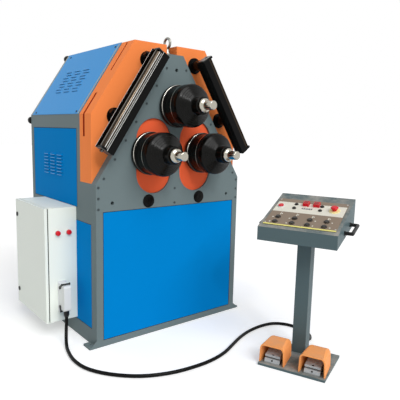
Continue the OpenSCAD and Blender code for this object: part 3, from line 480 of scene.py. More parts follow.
def stripsRound(shape, m, lo, hi, wide, tall):
    # four thin strips just inside a rectangle
    (x0, y0), (x1, y1) = lo, hi
    for a, b in (((x0, y0), (x0 + wide, y1)), ((x1 - wide, y0), (x1, y1)),
                 ((x0, y0), (x1, y0 + wide)), ((x0, y1 - wide), (x1, y1))):
        slab(shape, m, (*a, 0), (*b, tall))


def extruded(shape, m, outline, x0, x1):
    n = len(outline)
    verts = [m @ Vector((x, y, z)) for x in (x0, x1) for y, z in outline]
    faces = [tuple(range(n)), tuple(range(2 * n - 1, n - 1, -1))]
    faces += [(k, (k + 1) % n, n + (k + 1) % n, n + k) for k in range(n)]
    shape.add(verts, faces)


def axes(origin, x, y, z):
    return Matrix.Translation(origin) @ Matrix((Vector(x), Vector(y), Vector(z))).transposed().to_4x4()


def facingFront(x, y, z):
    # local Z comes out of the front plate
    return axes((x, y, z), (1, 0, 0), (0, 0, 1), (0, -1, 0))


slopeTurn = math.atan2(place["apex"][1] - place["shoulder"][1], place["shoulder"][0] - place["apex"][0])


def slopePoint(t, o, y, side):
    # t down the plate's slanted edge, o away from it
    x = place["apex"][0] + t * math.cos(slopeTurn) + o * math.sin(slopeTurn)
    z = place["apex"][1] - t * math.sin(slopeTurn) + o * math.cos(slopeTurn)
    return Vector((side * x, place["plateY"] + y, z))


def slopeFrame(side):
    # start of the slanted edge, with the ways down it and away from it
    origin = slopePoint(0, 0, 0, side)
    return origin, slopePoint(1, 0, 0, side) - origin, slopePoint(0, 1, 0, side) - origin


# pedestal: X across it, Y to its back; console face: X across, Y up the face, Z out of it
pedestalFrame = Matrix.Translation((*place["pedestal"], 0)) @ Matrix.Rotation(place["pedestalTurn"], 4, "Z")
consoleFrame = (pedestalFrame @ Matrix.Translation((0, place["consoleFront"], place["consoleTop"]))
                @ Matrix.Rotation(place["consoleSlope"], 4, "X"))

# cable: the route of the CAD part, in metres, its y counted from the front plate
cableLook = {"radius": 0.010, "steps": 3, "gland": (-0.650, 0.200, 0.156), "inletOut": 0.064,
             "inletUp": 0.052}


def cableRoute():
    gx, gy, gz = cableLook["gland"]
    pts = [(gx, gy, gz), (gx, gy, gz - 0.026), (gx - 0.008, gy - 0.012, 0.082),
           (gx - 0.022, gy - 0.042, 0.036), (gx - 0.040, gy - 0.090, 0.013)]
    floor = [(-0.707, 0.050), (-0.726, -0.060), (-0.716, -0.180), (-0.665, -0.290), (-0.580, -0.390),
             (-0.480, -0.462), (-0.345, -0.512), (-0.195, -0.530), (-0.080, -0.524), (0.025, -0.498),
             (0.130, -0.452), (0.235, -0.406), (0.350, -0.372), (0.470, -0.362), (0.570, -0.382),
             (0.632, -0.450), (0.650, -0.545), (0.628, -0.635)]
    pts += [(x, y, cableLook["radius"]) for x, y in floor]
    pts += [(0.566, -0.692, 0.017), (0.508, -0.708, 0.036)]
    # into the back of the column
    (px, py), turn, out = place["pedestal"], place["pedestalTurn"], cableLook["inletOut"]
    py -= place["plateY"]
    pts.append((px - out * math.sin(turn), py + out * math.cos(turn), cableLook["inletUp"]))
    return [Vector((x, place["plateY"] + y, z)) for x, y, z in pts]


def smoothRoute(pts, steps):
    out = []
    last = len(pts) - 1
    for i in range(last):
        a, b, c, d = pts[max(i - 1, 0)], pts[i], pts[i + 1], pts[min(i + 2, last)]
        for k in range(steps):
            t = k / steps
            out.append(0.5 * (2 * b + (c - a) * t + (2 * a - 5 * b + 4 * c - d) * t * t
                              + (3 * b - a - 3 * c + d) * t * t * t))
    out.append(pts[-1])
    return out


def makeCable():
    path = smoothRoute(cableRoute(), cableLook["steps"])
    curve = bpy.data.curves.new("controlCable", "CURVE")
    curve.dimensions = "3D"
    curve.bevel_depth = cableLook["radius"]
    curve.bevel_resolution = 5
    curve.use_fill_caps = True
    spline = curve.splines.new("POLY")
    spline.points.add(len(path) - 1)
    for p, v in zip(spline.points, path):
        p.co = (*v, 1)
    obj = newObject("controlCable", curve)
    curve.materials.append(mats["cableRubber"])
    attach(obj, "machine")
    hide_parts("cable")


makeCable()

# guide rollers: ground bars on journals, one in each channel
rollerLook = {"radius": 0.028, "from": 0.0863, "to": 0.7347, "off": 0.105, "ahead": 0.068, "segments": 72,
              "journal": 0.010, "journalFrom": 0.0722, "journalTo": 0.7607, "clip": 0.750,
              "clipRadius": 0.0085, "color": (58, 50, 42), "rough": 0.10, "tint": (90, 88, 84),
              "highlightLineColor": (250, 250, 246),
              # painted highlight lines of each side: turn from the front, half width (degrees), strength
              "highlightLines": {-1: ((12, 4.0, 1.0), (-15, 4.0, 1.0), (66, 3.5, 0.35)),
                        1: ((-40, 4.0, 1.0), (66, 3.5, 0.35))}}


def barMaterial(name, side):
    look = rollerLook
    mat, shader, coord = startMaterial(name)
    start = slopePoint(0, look["off"], -look["ahead"], side)
    outward = slopePoint(0, look["off"] + 1, -look["ahead"], side) - start
    film = useGroup(paintFilm, coord, Paint=rgba(look["color"]), Mottle=0.03, Roughness=look["rough"])
    turn = useGroup(barTurn, coord, Start=tuple(start), Outward=tuple(outward))["Turn"]
    mask = 0.0
    # painted highlight lines along the bar, placed by its turn from the front
    for angle, half, level in look["highlightLines"][side]:
        away = math2("ABSOLUTE", minus(turn, math.radians(angle)))
        line = ramp(away, math.radians(half), math.radians(half) * 0.5, 0.0, level)
        mask = math2("MAXIMUM", mask, line)
    fill(shader, Base_Color=mixColor(mask, film["Color"], rgba(look["highlightLineColor"])),
         Metallic=minus(1.0, mask), Roughness=film["Roughness"], Specular_Tint=rgba(look["tint"]))
    mats[name] = mat


def guideRoller(word, side):
    look = rollerLook
    start = slopePoint(0, look["off"], -look["ahead"], side)
    along = slopeFrame(side)[1]
    across = Vector((0, 1, 0))
    r, j, t0, t1 = (look[k] for k in ("radius", "journal", "from", "to"))
    j0, j1, c, cr = (look[k] for k in ("journalFrom", "journalTo", "clip", "clipRadius"))
    # round edge and shallow groove, the same at both ends
    end = [(r - 0.004, 0), (r - 0.0012, 0.0012), (r, 0.004), (r, 0.010), (r - 0.0006, 0.0104),
           (r - 0.0006, 0.0124), (r, 0.0128)]
    section = [(j - 0.001, j0), (j, j0 + 0.001), (j, t0)]
    section += [(q, t0 + d) for q, d in end] + [(q, t1 - d) for q, d in reversed(end)]
    section += [(j, t1), (j, c), (cr, c + 0.0005), (cr, c + 0.0035), (j, c + 0.004), (j, j1 - 0.0012),
                (j - 0.0012, j1)]
    shape = Shape()
    ringed(shape, section, axes(start, across.cross(along), across, along), look["segments"])
    name = word + "GuideRoller"
    barMaterial(name + "Steel", side)
    addMesh(name, shape, name + "Steel", 40, word + "_guide_bar", word + "_guide_roller")


for word, side in (("left", -1), ("right", 1)):
    guideRoller(word, side)
print("guide rollers turned")

# rolls, turned from their section
rollLook = {"radius": 0.130, "back": -0.008, "length": 0.174, "hub": 0.052, "hubLength": 0.088,
            "bore": 0.03405, "segments": 128, "coneLong": 0.030, "coneFrom": 0.012, "coneTo": 0.008,
            # below the rim's radius, and along from the back
            "rim": ((0.004, 0), (0.0012, 0.0012), (0, 0.004), (0, 0.0235), (0.0006, 0.0252), (0.0022, 0.0268),
                    (0.0085, 0.0292), (0.009, 0.0305), (0.009, 0.062), (0.0098, 0.0626), (0.0098, 0.0642),
                    (0.009, 0.0648), (0.009, 0.0985), (0.0072, 0.1012), (0.0038, 0.1040), (0.0022, 0.1062),
                    (0.002, 0.1085), (0.002, 0.1350), (0.0028, 0.1356), (0.0028, 0.1370), (0.002, 0.1376)),
            # below the rim's radius, and back from its front
            "lip": ((0.002, 0.014), (0.0026, 0.0105), (0.0046, 0.0062), (0.0080, 0.0024), (0.0120, 0)),
            # above the hub's radius, and along from the rim's front
            "root": ((0.0042, 0.0322), (0.0018, 0.0346), (0.0004, 0.0370), (0, 0.0395)),
            # below the hub's radius, and back from its front
            "nose": ((0, 0.0045), (0.0006, 0.0024), (0.0016, 0.0008), (0.0030, 0))}


def turnedRoll(word, axis):
    look = rollLook
    r, long, h, bore = (look[k] for k in ("radius", "length", "hub", "bore"))
    front = long + look["hubLength"]
    section = [(bore, 0)] + [(r - d, z) for d, z in look["rim"]]
    section += [(r - d, long - z) for d, z in look["lip"]]
    # cone from the rim to the hub, with shallow turned steps
    r0, r1, steps = r - look["coneFrom"], h + look["coneTo"], 5
    for k in range(1, steps):
        t = k / steps
        cr, cz = r0 + t * (r1 - r0), long + t * look["coneLong"]
        section += [(cr + 0.0008, cz - 0.0004), (cr + 0.0006, cz + 0.0004), (cr - 0.0012, cz + 0.0002)]
    section.append((r1, long + look["coneLong"]))
    section += [(h + d, long + z) for d, z in look["root"]] + [(h - d, front - z) for d, z in look["nose"]]
    section.append((bore, front))
    shape = Shape()
    m = facingFront(axis[0], place["plateY"] + look["back"], axis[1])
    ringed(shape, section, m, look["segments"], closed=True)
    addMesh(word + "RollTurned", shape, word + "RollSteel", 28, word + "_roll_set",
            word + "_roll")


# spindles with a rounded nut before each roll and a plain end
spindleLook = {"shaft": 0.034, "nutFrom": 0.270, "nut": 0.0415, "nutLong": 0.026, "nutMiddle": 0.0102,
               "nutRound": 0.0138, "end": 0.026, "tip": 0.360, "chamfer": 0.004, "segments": 64,
               "back": {"top": 0.212, "left": 0.180, "right": 0.180}}


def turnedSpindle(word, axis):
    look = spindleLook
    r, n, e, tip, c = (look[k] for k in ("shaft", "nut", "end", "tip", "chamfer"))
    z, back, root = look["nutFrom"], look["back"][word], look["end"] + 0.001
    section = [(r - 0.001, -back), (r, 0.001 - back), (r, z)]
    # round over the nut, from its seat to the end's root
    for k in range(11):
        a = math.radians(-50 + 13 * k)
        along = z + look["nutMiddle"] + look["nutRound"] * math.sin(a)
        section.append((root + (n - root) * math.cos(a), along))
    section += [(e, z + look["nutLong"]), (e, tip - c), (e - 0.3 * c, tip - 0.45 * c), (e - c, tip)]
    shape = Shape()
    ringed(shape, section, facingFront(axis[0], place["plateY"], axis[1]), look["segments"])
    addMesh(word + "SpindleTurned", shape, word + "Bright", 32, word + "_roll_set",
            word + "_spindle")


for turned in (turnedRoll, turnedSpindle):
    for word in ("top", "left", "right"):
        turned(word, place[word + "Roll"])
print("rolls turned")

# screws and pin caps on the front plate
fittingLook = {"head": 0.0075, "tall": 0.003, "socket": 0.0040, "edgeFirst": 0.085, "edgeStep": 0.130,
               "edgeCount": 7, "edgeIn": 0.025, "cheek": (0.535, 0.833), "cheekStep": 0.063, "cheekCount": 3,
               "middle": ((0.0, 0.928), (0.0, 0.835)),
               "cap": 0.040, "capTall": 0.005, "dimple": 0.012, "caps": ((-0.197, 0.860), (0.197, 0.860))}


def socketScrew(shape, m, r, tall, socket, deep=0.0022):
    # head with a six-sided socket, four rim points to each side of it
    count = 24
    ringed(shape, [(r, 0), (r, tall - 0.0008), (r - 0.0008, tall), (socket + 0.0004, tall)], m, count)
    shape.faces.pop()
    rim = shape.verts[-4 * count + 3::4]
    turns = [math.pi * k / 3 for k in range(6)]
    sockets = [m @ Vector((socket * math.cos(a), socket * math.sin(a), z))
               for z in (tall, tall - deep) for a in turns]
    upper, lower = count, count + 6
    faces = []
    for k in range(6):
        n = (k + 1) % 6
        span = [(4 * k + i) % count for i in range(5)]
        faces += [(span[i], span[i + 1], upper + (k if i < 2 else n)) for i in range(4)]
        faces.append((span[2], upper + n, upper + k))
        faces.append((upper + k, upper + n, lower + n, lower + k))
    faces.append(tuple(range(lower, lower + 6)))
    shape.add(rim + sockets, faces)


def plateScrews():
    look = fittingLook
    shape = Shape()
    spots = []
    for side in (-1, 1):
        for k in range(look["edgeCount"]):
            p = slopePoint(look["edgeFirst"] + look["edgeStep"] * k, -look["edgeIn"], 0, side)
            spots.append((p.x, p.z))
        x, z = look["cheek"]
        spots += [(side * x, z + look["cheekStep"] * k) for k in range(look["cheekCount"])]
    for x, z in (*spots, *look["middle"]):
        socketScrew(shape, facingFront(x, place["plateY"], z), look["head"], look["tall"], look["socket"])
    addMesh("plateScrews", shape, "screwPaint", 30)


def pinCaps():
    shape = Shape()
    c, t, d = (fittingLook[k] for k in ("cap", "capTall", "dimple"))
    section = [(c, 0), (c, t - 0.0016), (c - 0.0005, t - 0.0005), (c - 0.0016, t), (d, t),
               (d - 0.001, t - 0.001), (0.0, t - 0.0011)]
    for x, z in fittingLook["caps"]:
        ringed(shape, section, facingFront(x, place["plateY"], z), 64)
    addMesh("pinCaps", shape, "blackPaint", 30, standsFor="plate_fittings")


plateScrews()
pinCaps()
print("plate fittings set")

# thin dark joints where sheets meet the frame: the front panel, then the sheets on each side
seamLook = {"wide": 0.003, "proud": 0.0004, "front": ((-0.506, 0.040), (0.506, 0.816)), "frontIn": 0.001,
            "sides": ((0.549, (-0.433, 0.100), (0.433, 0.738)), (0.550, (-0.251, 0.816), (0.448, 1.290)))}


def panelSeams():
    look = seamLook
    shape = Shape()
    front = facingFront(0, place["plateY"] + look["frontIn"], 0)
    stripsRound(shape, front, *look["front"], look["wide"], look["proud"])
    for side in (-1, 1):
        for x, (y0, z0), (y1, z1) in look["sides"]:
            m = axes((side * x, 0, 0), (0, side, 0), (0, 0, 1), (side, 0, 0))
            a, b = sorted((side * y0, side * y1))
            stripsRound(shape, m, (a, z0), (b, z1), look["wide"], look["proud"])
    addMesh("panelSeams", shape, "darkGap")


panelSeams()

# console face: u across it and v up it for bands, marks, bezels and readouts
consoleLook = {
    "panel": 0.004, "skin": 0.0004,
    "bands": {"whitePrint": (-0.201, 0.201, 0.187, 0.305), "yellowPrint": (-0.203, 0.203, 0.032, 0.043)},
    "marks": ((-0.141, 0.161), (-0.047, 0.164), (0.044, 0.158), (0.133, 0.156)),
    "dot": 0.0048, "dotAway": 0.030, "dotDown": 0.003,
    "pushU": (-0.143, -0.046, 0.040, 0.132), "pushV": (0.066, 0.120), "push": (0.0120, 0.0092),
    "keyU": (-0.087, 0.064), "keyV": (0.236, 0.284), "key": (0.0080, 0.0082),
    "red": (-0.171, 0.250), "readoutU": (-0.029, 0.0325), "readoutV": 0.288, "readout": 0.0176,
    "readoutTall": 0.0206, "lens": (0.0120, 0.0105), "counter": (-0.043, 0.017, 0.236, 0.250),
    "wheels": 4, "wheel": (-0.0385, -0.0285, 0.2385, 0.2475), "wheelStep": 0.0135,
    "screwU": (-0.196, 0.196), "screwV": (0.052, 0.333),
}


def onConsole(u, v, n=0.0):
    return consoleFrame @ Matrix.Translation((u, v, n))


def consolePrint():
    look = consoleLook
    p, h = look["panel"], look["skin"]
    for name, (u0, u1, v0, v1) in look["bands"].items():
        shape = Shape()
        slab(shape, consoleFrame, (u0, v0, p - 0.0005), (u1, v1, p + h))
        addMesh(name + "Band", shape, name)
    # plain marks over each column and a dot beside each push button
    marks = Shape()
    for u, v in look["marks"]:
        slab(marks, onConsole(u, v, p), (-0.0025, -0.012, 0), (0.0025, 0.012, h))
        slab(marks, onConsole(u, v, p), (0.0045, -0.004, 0), (0.0115, 0.006, h))
    for i, u in enumerate(look["pushU"]):
        away = -look["dotAway"] if i < 2 else look["dotAway"]
        for v in look["pushV"]:
            ringed(marks, [(look["dot"], 0), (look["dot"], h), (0.0, h + 0.0001)],
                   onConsole(u + away, v - look["dotDown"], p), 20)
    addMesh("consoleMarks", marks, "whitePrint")


def consoleBezels():
    look = consoleLook
    p = look["panel"]
    shape, ring = Shape(), Shape()
    for kind in ("push", "key"):
        r, top = look[kind]
        section = [(r + 0.0003, p + 0.001), (r + 0.0003, top), (r + 0.0012, top + 0.0003),
                   (r + 0.0028, top + 0.0001), (r + 0.0038, top - 0.0012), (r + 0.0040, p)]
        for u in look[kind + "U"]:
            for v in look[kind + "V"]:
                ringed(shape, section, onConsole(u, v), 40, closed=True)
    addMesh("buttonBezels", shape, "buttonPlastic", 35)
    section = [(0.0164, p + 0.001), (0.0164, 0.0082), (0.0180, 0.0086), (0.0205, 0.0080), (0.0212, p)]
    ringed(ring, section, onConsole(*look["red"]), 40, closed=True)
    addMesh("redBezel", ring, "castMetal", 35)


def consoleReadouts():
    # two red blocks with a stepped lens, and the counter between the keys
    look = consoleLook
    p, s, t, (lu, lv) = (look[k] for k in ("panel", "readout", "readoutTall", "lens"))
    blocks, lenses, window, wheels = Shape(), Shape(), Shape(), Shape()
    for u in look["readoutU"]:
        m = onConsole(u, look["readoutV"], p)
        slab(blocks, m, (-s, -s, 0), (s, s, t), 0.0022)
        slab(lenses, m, (-lu, -lv, t - 0.0006), (lu, lv, t + 0.0010), 0.0010)
    addMesh("readoutBlocks", blocks, "redPlastic")
    addMesh("readoutLenses", lenses, "redLens")
    u0, u1, v0, v1 = look["counter"]
    slab(window, consoleFrame, (u0, v0, p), (u1, v1, p + 0.0016), 0.0006)
    addMesh("counterWindow", window, "blackPlastic")
    u0, u1, v0, v1 = look["wheel"]
    for k in range(look["wheels"]):
        slab(wheels, onConsole(look["wheelStep"] * k, 0, p), (u0, v0, 0.0014), (u1, v1, 0.0019), 0.0002)
    addMesh("counterWheels", wheels, "castMetal")


def faceScrews():
    shape = Shape()
    for u in consoleLook["screwU"]:
        for v in consoleLook["screwV"]:
            socketScrew(shape, onConsole(u, v, consoleLook["panel"]), 0.0042, 0.0018, 0.0020)
    addMesh("faceScrews", shape, "castMetal", 35)


for dressConsole in (consolePrint, consoleBezels, consoleReadouts, faceScrews):
    dressConsole()
print("console dressed")

# cabinet lamps: bezel and ribbed lens
lampLook = {"x": (-0.671, -0.602), "z": 0.665, "front": -0.233, "bezel": 0.018, "lens": 0.015}


def cabinetLamps():
    bezels, lenses = Shape(), Shape()
    b, r = lampLook["bezel"], lampLook["lens"]
    for x in lampLook["x"]:
        m = facingFront(x, lampLook["front"], lampLook["z"])
        ringed(bezels, [(b, 0), (b, 0.004), (b - 0.0012, 0.0058), (r + 0.0004, 0.006), (r + 0.0004, 0.002)],
               m, 48, closed=True)
        ringed(lenses, [(r, 0.002), (r, 0.0085), (r - 0.0005, 0.0090), (r - 0.0005, 0.0105), (r, 0.0110),
                        (r, 0.0150), (r - 0.0010, 0.0178), (r - 0.0035, 0.0194), (0.0, 0.0200)], m, 48)
    addMesh("lampBezels", bezels, "castMetal", 35)
    addMesh("lampLenses", lenses, "redPlastic", 35, standsFor="cabinet_lamps")


cabinetLamps()
print("cabinet dressed")

# louvre hoods over the slots of the casing's panels, open below; pale lips on the side hoods paint a
# highlight
louvreLook = {"long": 0.084, "high": 0.009, "sheet": 0.0008, "round": 0.009, "margin": 0.003, "columns": 3,
              "lipIn": 0.008, "section": ((1.45, 0.0), (1.25, 0.25), (0.85, 0.66), (0.40, 0.92), (0.0, 1.0)),
              "side": {"out": 0.0075, "lip": 0.0020, "rows": 7, "pitch": 0.021, "first": 0.990,
                       "back": 0.452, "step": 0.106, "shift": 0.0},
              "slope": {"out": 0.0036, "lip": 0, "rows": 8, "pitch": 0.024, "first": 0.175,
                        "back": 0.420, "step": 0.130, "shift": 0.024}}
sheetLook = {"sideX": 0.550, "slopeThick": 0.003}


def louvreHood(shape, m, height):
    # local X along the slot, Y up across it, Z out of the sheet
    look = louvreLook
    section, rows, stations = look["section"], len(look["section"]), 12
    outer, inner = [], []
    for i in range(stations + 1):
        x = -look["margin"] + (look["long"] + 2 * look["margin"]) * i / stations
        near = min(x + look["margin"], look["long"] + look["margin"] - x) / look["round"]
        rise = math.sqrt(max(0.0, 1 - (1 - min(near, 1.0)) ** 2))
        for f, g in section:
            y, z = f * look["high"], g * height * rise
            outer.append(m @ Vector((x, y, z + 0.0002)))
            inner.append(m @ Vector((x, y, max(z - look["sheet"], -0.0005))))
    n = len(outer)
    faces = []
    for i in range(stations):
        a, b = i * rows, (i + 1) * rows
        for j in range(rows - 1):
            faces.append((a + j, b + j, b + j + 1, a + j + 1))
            faces.append((n + a + j, n + a + j + 1, n + b + j + 1, n + b + j))
        for j in (0, rows - 1):
            faces.append((a + j, b + j, n + b + j, n + a + j))
    for a in (0, stations * rows):
        for j in range(rows - 1):
            faces.append((a + j, a + j + 1, n + a + j + 1, n + a + j))
    shape.add(outer + inner, faces)


def sideSpot(side, up, y):
    # a place on the side sheet, with the ways up it and out of it
    return Vector((side * sheetLook["sideX"], place["plateY"] + y, up)), (0, 0, 1), (side, 0, 0)


def slopeSpot(side, up, y):
    # the same on the slope sheet, counted up from its lower edge
    c, s, thick = math.cos(slopeTurn), math.sin(slopeTurn), sheetLook["slopeThick"]
    x, z = place["shoulder"][0], place["shoulder"][1] + place["guardOff"] / c
    spot = Vector((side * (x - up * c + thick * s), place["plateY"] + y, z + up * s + thick * c))
    return spot, (-side * c, 0, s), (side * s, 0, c)


def louvreField(kind, material, spot):
    look, long, inset = louvreLook[kind], louvreLook["long"], louvreLook["lipIn"]
    hoods, highlightLips = Shape(), Shape()
    for side in (-1, 1):
        for r in range(look["rows"]):
            for c in range(louvreLook["columns"]):
                y = look["back"] + look["step"] * c + look["shift"] * (r % 2) + (long if side < 0 else 0)
                origin, up, out = spot(side, look["first"] + look["pitch"] * r, y)
                m = axes(origin, (0, side, 0), up, out)
                louvreHood(hoods, m, look["out"])
                # pale lip on each side hood: painted highlight along its edge
                if look["lip"] > 0:
                    slab(highlightLips, m, (inset, -0.0006, 0.94 * look["out"]),
                         (long - inset, look["lip"], look["out"] + 0.0005))
    addMesh(kind + "Louvres", hoods, material, 50)
    if highlightLips.verts:
        addMesh(kind + "LouvresHighlightLips", highlightLips, "lipHighlightBlue")


louvreField("side", "bluePaint", sideSpot)
louvreField("slope", "slopeLitBlue", slopeSpot)
print("louvres pressed")

# black knobs behind the casing and screws at the corners of its slope panels
knobLook = {"radius": 0.0255, "stem": 0.0084, "spots": ((0.538, 1.3376), (0.2597, 1.791)), "screw": 0.0074,
            "screwUp": (0.016, 0.4938), "screwY": (0.252, 0.901)}


def casingFittings():
    look = knobLook
    shape = Shape()
    r, stem, s = look["radius"], look["stem"], look["screw"]
    knob = [(stem, 0.0005), (stem, 0.0132), (r - 0.006, 0.0136), (r - 0.0012, 0.0150), (r, 0.0180),
            (r, 0.0330), (r - 0.0015, 0.0372), (r - 0.0060, 0.0398), (0.004, 0.0404), (0.0, 0.0404)]
    screw = [(s, -0.0005), (s, 0.0024), (s - 0.0014, 0.0033), (0.0, 0.0036)]
    for side in (-1, 1):
        for x, z in look["spots"]:
            ringed(shape, knob, axes((side * x, -place["plateY"], z), (1, 0, 0), (0, 0, -1), (0, 1, 0)), 48)
        for up in look["screwUp"]:
            for y in look["screwY"]:
                origin, rise, out = slopeSpot(side, up, y)
                ringed(shape, screw, axes(origin, (0, side, 0), rise, out), 24)
    addMesh("casingFittings", shape, "blackPlastic", 35)


# pale strips beside the slope panels, and dark orange backs in the long slots of the guards, painted shade of
# their orange
trimLook = {"y": (0.2125, 0.9575), "wide": 0.013, "long": 0.512, "sheet": 0.0016,
            "slopeSlots": ((-0.002, 0.152, 0.132, 0.162), (0.306, 0.516, 0.123, 0.145)), "slopeDeep": 0.0080,
            "sideSlot": (1.243, 1.371, 0.132, 0.162), "sideDeep": 0.0052}


def slopeTrims():
    look = trimLook
    trims, backs = Shape(), Shape()
    for side in (-1, 1):
        origin, rise, out = slopeSpot(side, 0.0, 0.0)
        slope = axes(origin, rise, (0, 1, 0), out)
        for y in look["y"]:
            slab(trims, slope, (0.001, y, -0.0004), (look["long"], y + look["wide"], 0.0006))
        origin, rise, out = sideSpot(side, 0.0, 0.0)
        upright = axes(origin, rise, (0, 1, 0), out)
        slots = [(slope, look["slopeDeep"], slot) for slot in look["slopeSlots"]]
        for m, deep, (a, b, y0, y1) in (*slots, (upright, look["sideDeep"], look["sideSlot"])):
            slab(backs, m, (a, y0, -deep), (b, y1, look["sheet"] - deep))
    addMesh("slopeTrims", trims, "trimPaint")
    addMesh("slotShadeBacks", backs, "slotShadePaint")


casingFittings()
slopeTrims()

# plates on the ends of the guide channels, and near-white strips on their flanges' edges, a painted highlight
endLook = {"thick": 0.0025, "lo": (0.055, -0.096), "hi": (0.129, -0.040), "hole": 0.0108, "count": 40,
           "plates": (0.7471, 0.0714), "edges": ((0.091, -0.1045, -0.0975), (0.134, -0.0345, -0.0315)),
           "edgeFrom": 0.0745, "edgeTo": 0.7465}


def holedPlate(shape, m, centre, z):
    # plate with a round hole, as rays from the hole's rim to the plate's edge
    (x0, y0), (x1, y1), r, n = (endLook[k] for k in ("lo", "hi", "hole", "count"))
    rim, edge = [], []
    for k in range(n):
        a = 2 * math.pi * k / n
        c, s = math.cos(a), math.sin(a)
        reach = min(((x1 if c > 0 else x0) - centre[0]) / c if abs(c) > 1e-6 else 1e9,
                    ((y1 if s > 0 else y0) - centre[1]) / s if abs(s) > 1e-6 else 1e9)
        rim.append((centre[0] + r * c, centre[1] + r * s))
        edge.append((centre[0] + reach * c, centre[1] + reach * s))
    verts = [m @ Vector((x, y, h)) for h in (z, z + endLook["thick"]) for x, y in rim + edge]
    faces = []
    for k in range(n):
        j = (k + 1) % n
        faces += [(k, j, n + j, n + k), (2 * n + k, 3 * n + k, 3 * n + j, 2 * n + j),
                  (k, 2 * n + k, 2 * n + j, j), (n + k, n + j, 3 * n + j, 3 * n + k)]
    shape.add(verts, faces)


def beamEnds():
    look = endLook
    plates, edges = Shape(), Shape()
    centre = (rollerLook["off"], -rollerLook["ahead"])
    for side in (-1, 1):
        origin, along, off = slopeFrame(side)
        for z in look["plates"]:
            holedPlate(plates, axes(origin, off, (0, 1, 0), along), centre, z)
        for o, y0, y1 in look["edges"]:
            slab(edges, axes(origin, along, (0, 1, 0), off), (look["edgeFrom"], y0, o - 0.0002),
                 (look["edgeTo"], y1, o + 0.0004))
    addMesh("beamEnds", plates, "zincPlate")
    addMesh("flangeEdgeHighlights", edges, "edgeHighlight")


beamEnds()
print("casing and beams fitted")

# pedals: pads with ribs and a notch on the treadles, light covers over the switch blocks
pedalLook = {"half": 0.043, "rear": (-0.112, 0.0722), "front": (-0.2335, 0.0422), "pad": 0.0010,
             "into": 0.0004, "rib": 0.0009, "ribs": 9, "ribWide": 0.004, "ribFirst": 0.014, "ribRest": 0.040,
             "notch": 0.0065, "notchLong": 0.008, "coverHalf": 0.0442, "screw": 0.0050,
             "screwAt": (-0.2447, 0.0147),
             # outer line of the cover, then its inner one back
             "cover": ((-0.2488, 0.0004), (-0.2488, 0.0064), (-0.2405, 0.0229), (-0.128, 0.0229),
                       (-0.128, 0.0212), (-0.2390, 0.0212), (-0.2470, 0.0056), (-0.2470, 0.0004))}


def treadlePad(body, x):
    look = pedalLook
    (y0, z0), (y1, z1) = look["rear"], look["front"]
    run = Vector((0, y1 - y0, z1 - z0))
    long = run.length
    run.normalize()
    m = pedestalFrame @ axes((x, y0, place["footPlate"] + z0), (-1, 0, 0), run, (0, run.z, -run.y))
    pad, gap = Shape(), Shape()
    w, h, n, low, cut = look["half"], look["pad"], look["notch"], -look["into"], long - look["notchLong"]
    slab(pad, m, (-w, 0.002, low), (w, cut, h), 0.0004)
    for a, b in ((-w, -n), (n, w)):
        slab(pad, m, (a, cut, low), (b, long, h), 0.0004)
    slab(gap, m, (-n, cut + 0.0002, -0.0003), (n, long, 0.0003))
    side = w - look["ribWide"]
    for k in range(look["ribs"]):
        y = look["ribFirst"] + k * (long - look["ribRest"]) / (look["ribs"] - 1)
        slab(pad, m, (-side, y, h - 0.0003), (side, y + look["ribWide"], h + look["rib"]), 0.0006)
    addMesh(body + "Pad", pad, "treadleMetal", body=body)
    addMesh(body + "Notch", gap, "blackPlastic", body=body)


def switchCovers():
    look = pedalLook
    covers, screws = Shape(), Shape()
    base, half, r = place["footPlate"], look["coverHalf"], look["screw"]
    screw = [(r, -0.0005), (r, 0.0012), (r - 0.0008, 0.0018), (0.0, 0.0020)]
    outline = [(y, base + z) for y, z in look["cover"]]
    (ya, za), (yb, zb) = outline[1:3]
    tilt = math.atan2(yb - ya, zb - za)
    y, z = look["screwAt"]
    for x in place["pedals"]:
        extruded(covers, pedestalFrame, outline, x - half, x + half)
        face = axes((x, y, base + z), (1, 0, 0), (0, math.sin(tilt), math.cos(tilt)),
                    (0, -math.cos(tilt), math.sin(tilt)))
        ringed(screws, screw, pedestalFrame @ face, 24)
    addMesh("switchCovers", covers, "treadleMetal")
    addMesh("switchScrews", screws, "blackPlastic", 35)


for body, x in zip(("left_treadle", "right_treadle"), place["pedals"]):
    treadlePad(body, x)
switchCovers()
print("pedals dressed")

# rubber seal between the cabinet and its door, thinner by the locks
sealLook = {"x": (-0.7296, -0.7262), "y": (-0.2255, 0.262), "z": (0.119, 0.811), "wide": 0.009,
            "atLocks": -0.7283}


def doorSeal():
    (x0, x1), (y0, y1), (z0, z1), w, xl = (sealLook[k] for k in ("x", "y", "z", "wide", "atLocks"))
    shape = Shape()
    for lo, hi in (((x0, y0, z0), (x1, y0 + w, z1)), ((x0, y1 - w, z0), (xl, y1, z1)),
                   ((x0, y0 + w, z0), (x1, y1 - w, z0 + w)), ((x0, y0 + w, z1 - w), (x1, y1 - w, z1))):
        slab(shape, Matrix.Identity(4), lo, hi)
    addMesh("doorSeal", shape, "darkGap")


doorSeal()

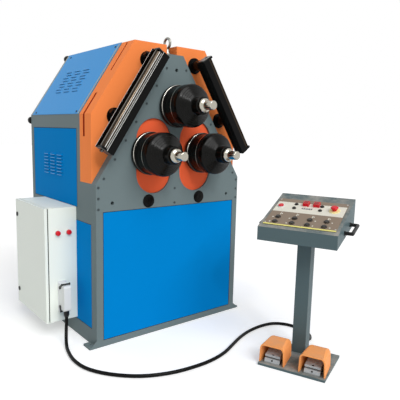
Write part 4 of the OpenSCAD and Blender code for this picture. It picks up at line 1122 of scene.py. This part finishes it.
# stage: strength, width in degrees and direction of each sun
stageLook = {"floor": (238, 238, 238), "half": 30.0, "drop": 0.0005, "glow": 0.36, "sky": 0.40,
             "suns": {"key": (1.72, 40, (0.05, 0.72, -0.69)), "fill": (0.15, 60, (0.90, 0.30, -0.30)),
                      "leftKick": (0.30, 5, (0.28, 0.78, -0.56)),
                      "rightKick": (0.10, 5, (-0.30, 0.75, -0.60))}}


def seenStraight(tree):
    # 1 where the stage itself is seen or mirrored, 0 where it only lights
    ray = put(tree, "LightPath").outputs
    mirrored = math2("MAXIMUM", ray["Is Glossy Ray"], ray["Is Transmission Ray"])
    return math2("MAXIMUM", ray["Is Camera Ray"], mirrored)


def makeFloor(look):
    s = look["half"]
    mesh = bpy.data.meshes.new("paleFloor")
    mesh.from_pydata(corners(-s, -s, s, s, 0), [], [(0, 1, 2, 3)])
    floor = newObject("paleFloor", mesh)
    floor.location.z = -look["drop"]
    mat = bpy.data.materials.new("paleFloor")
    tree = emptyTree(mat)
    matte = fill(put(tree, "BsdfDiffuse"), Color=rgba(look["floor"]))
    glow = fill(put(tree, "Emission"), Strength=times(seenStraight(tree), look["glow"]))
    both = put(tree, "AddShader")
    for sock, part in zip(both.inputs, (matte, glow)):
        feed(sock, part.outputs[0])
    fill(put(tree, "OutputMaterial"), Surface=both.outputs[0])
    mesh.materials.append(mat)


def makeSky(look):
    scene.world = bpy.data.worlds.new("studio")
    tree = emptyTree(scene.world)
    strength = plus(times(seenStraight(tree), 1.0 - look["sky"]), look["sky"])
    sky = fill(put(tree, "Background"), Color=(1, 1, 1, 1), Strength=strength)
    fill(put(tree, "OutputWorld"), Surface=sky.outputs[0])


def makeSuns(look):
    for name, (energy, angle, direction) in look["suns"].items():
        data = bpy.data.lights.new(name, "SUN")
        data.energy = energy
        data.angle = math.radians(angle)
        newObject(name, data).rotation_euler = Vector(direction).to_track_quat("-Z", "Y").to_euler()


makeFloor(stageLook)
makeSky(stageLook)
makeSuns(stageLook)
print("stage lit")
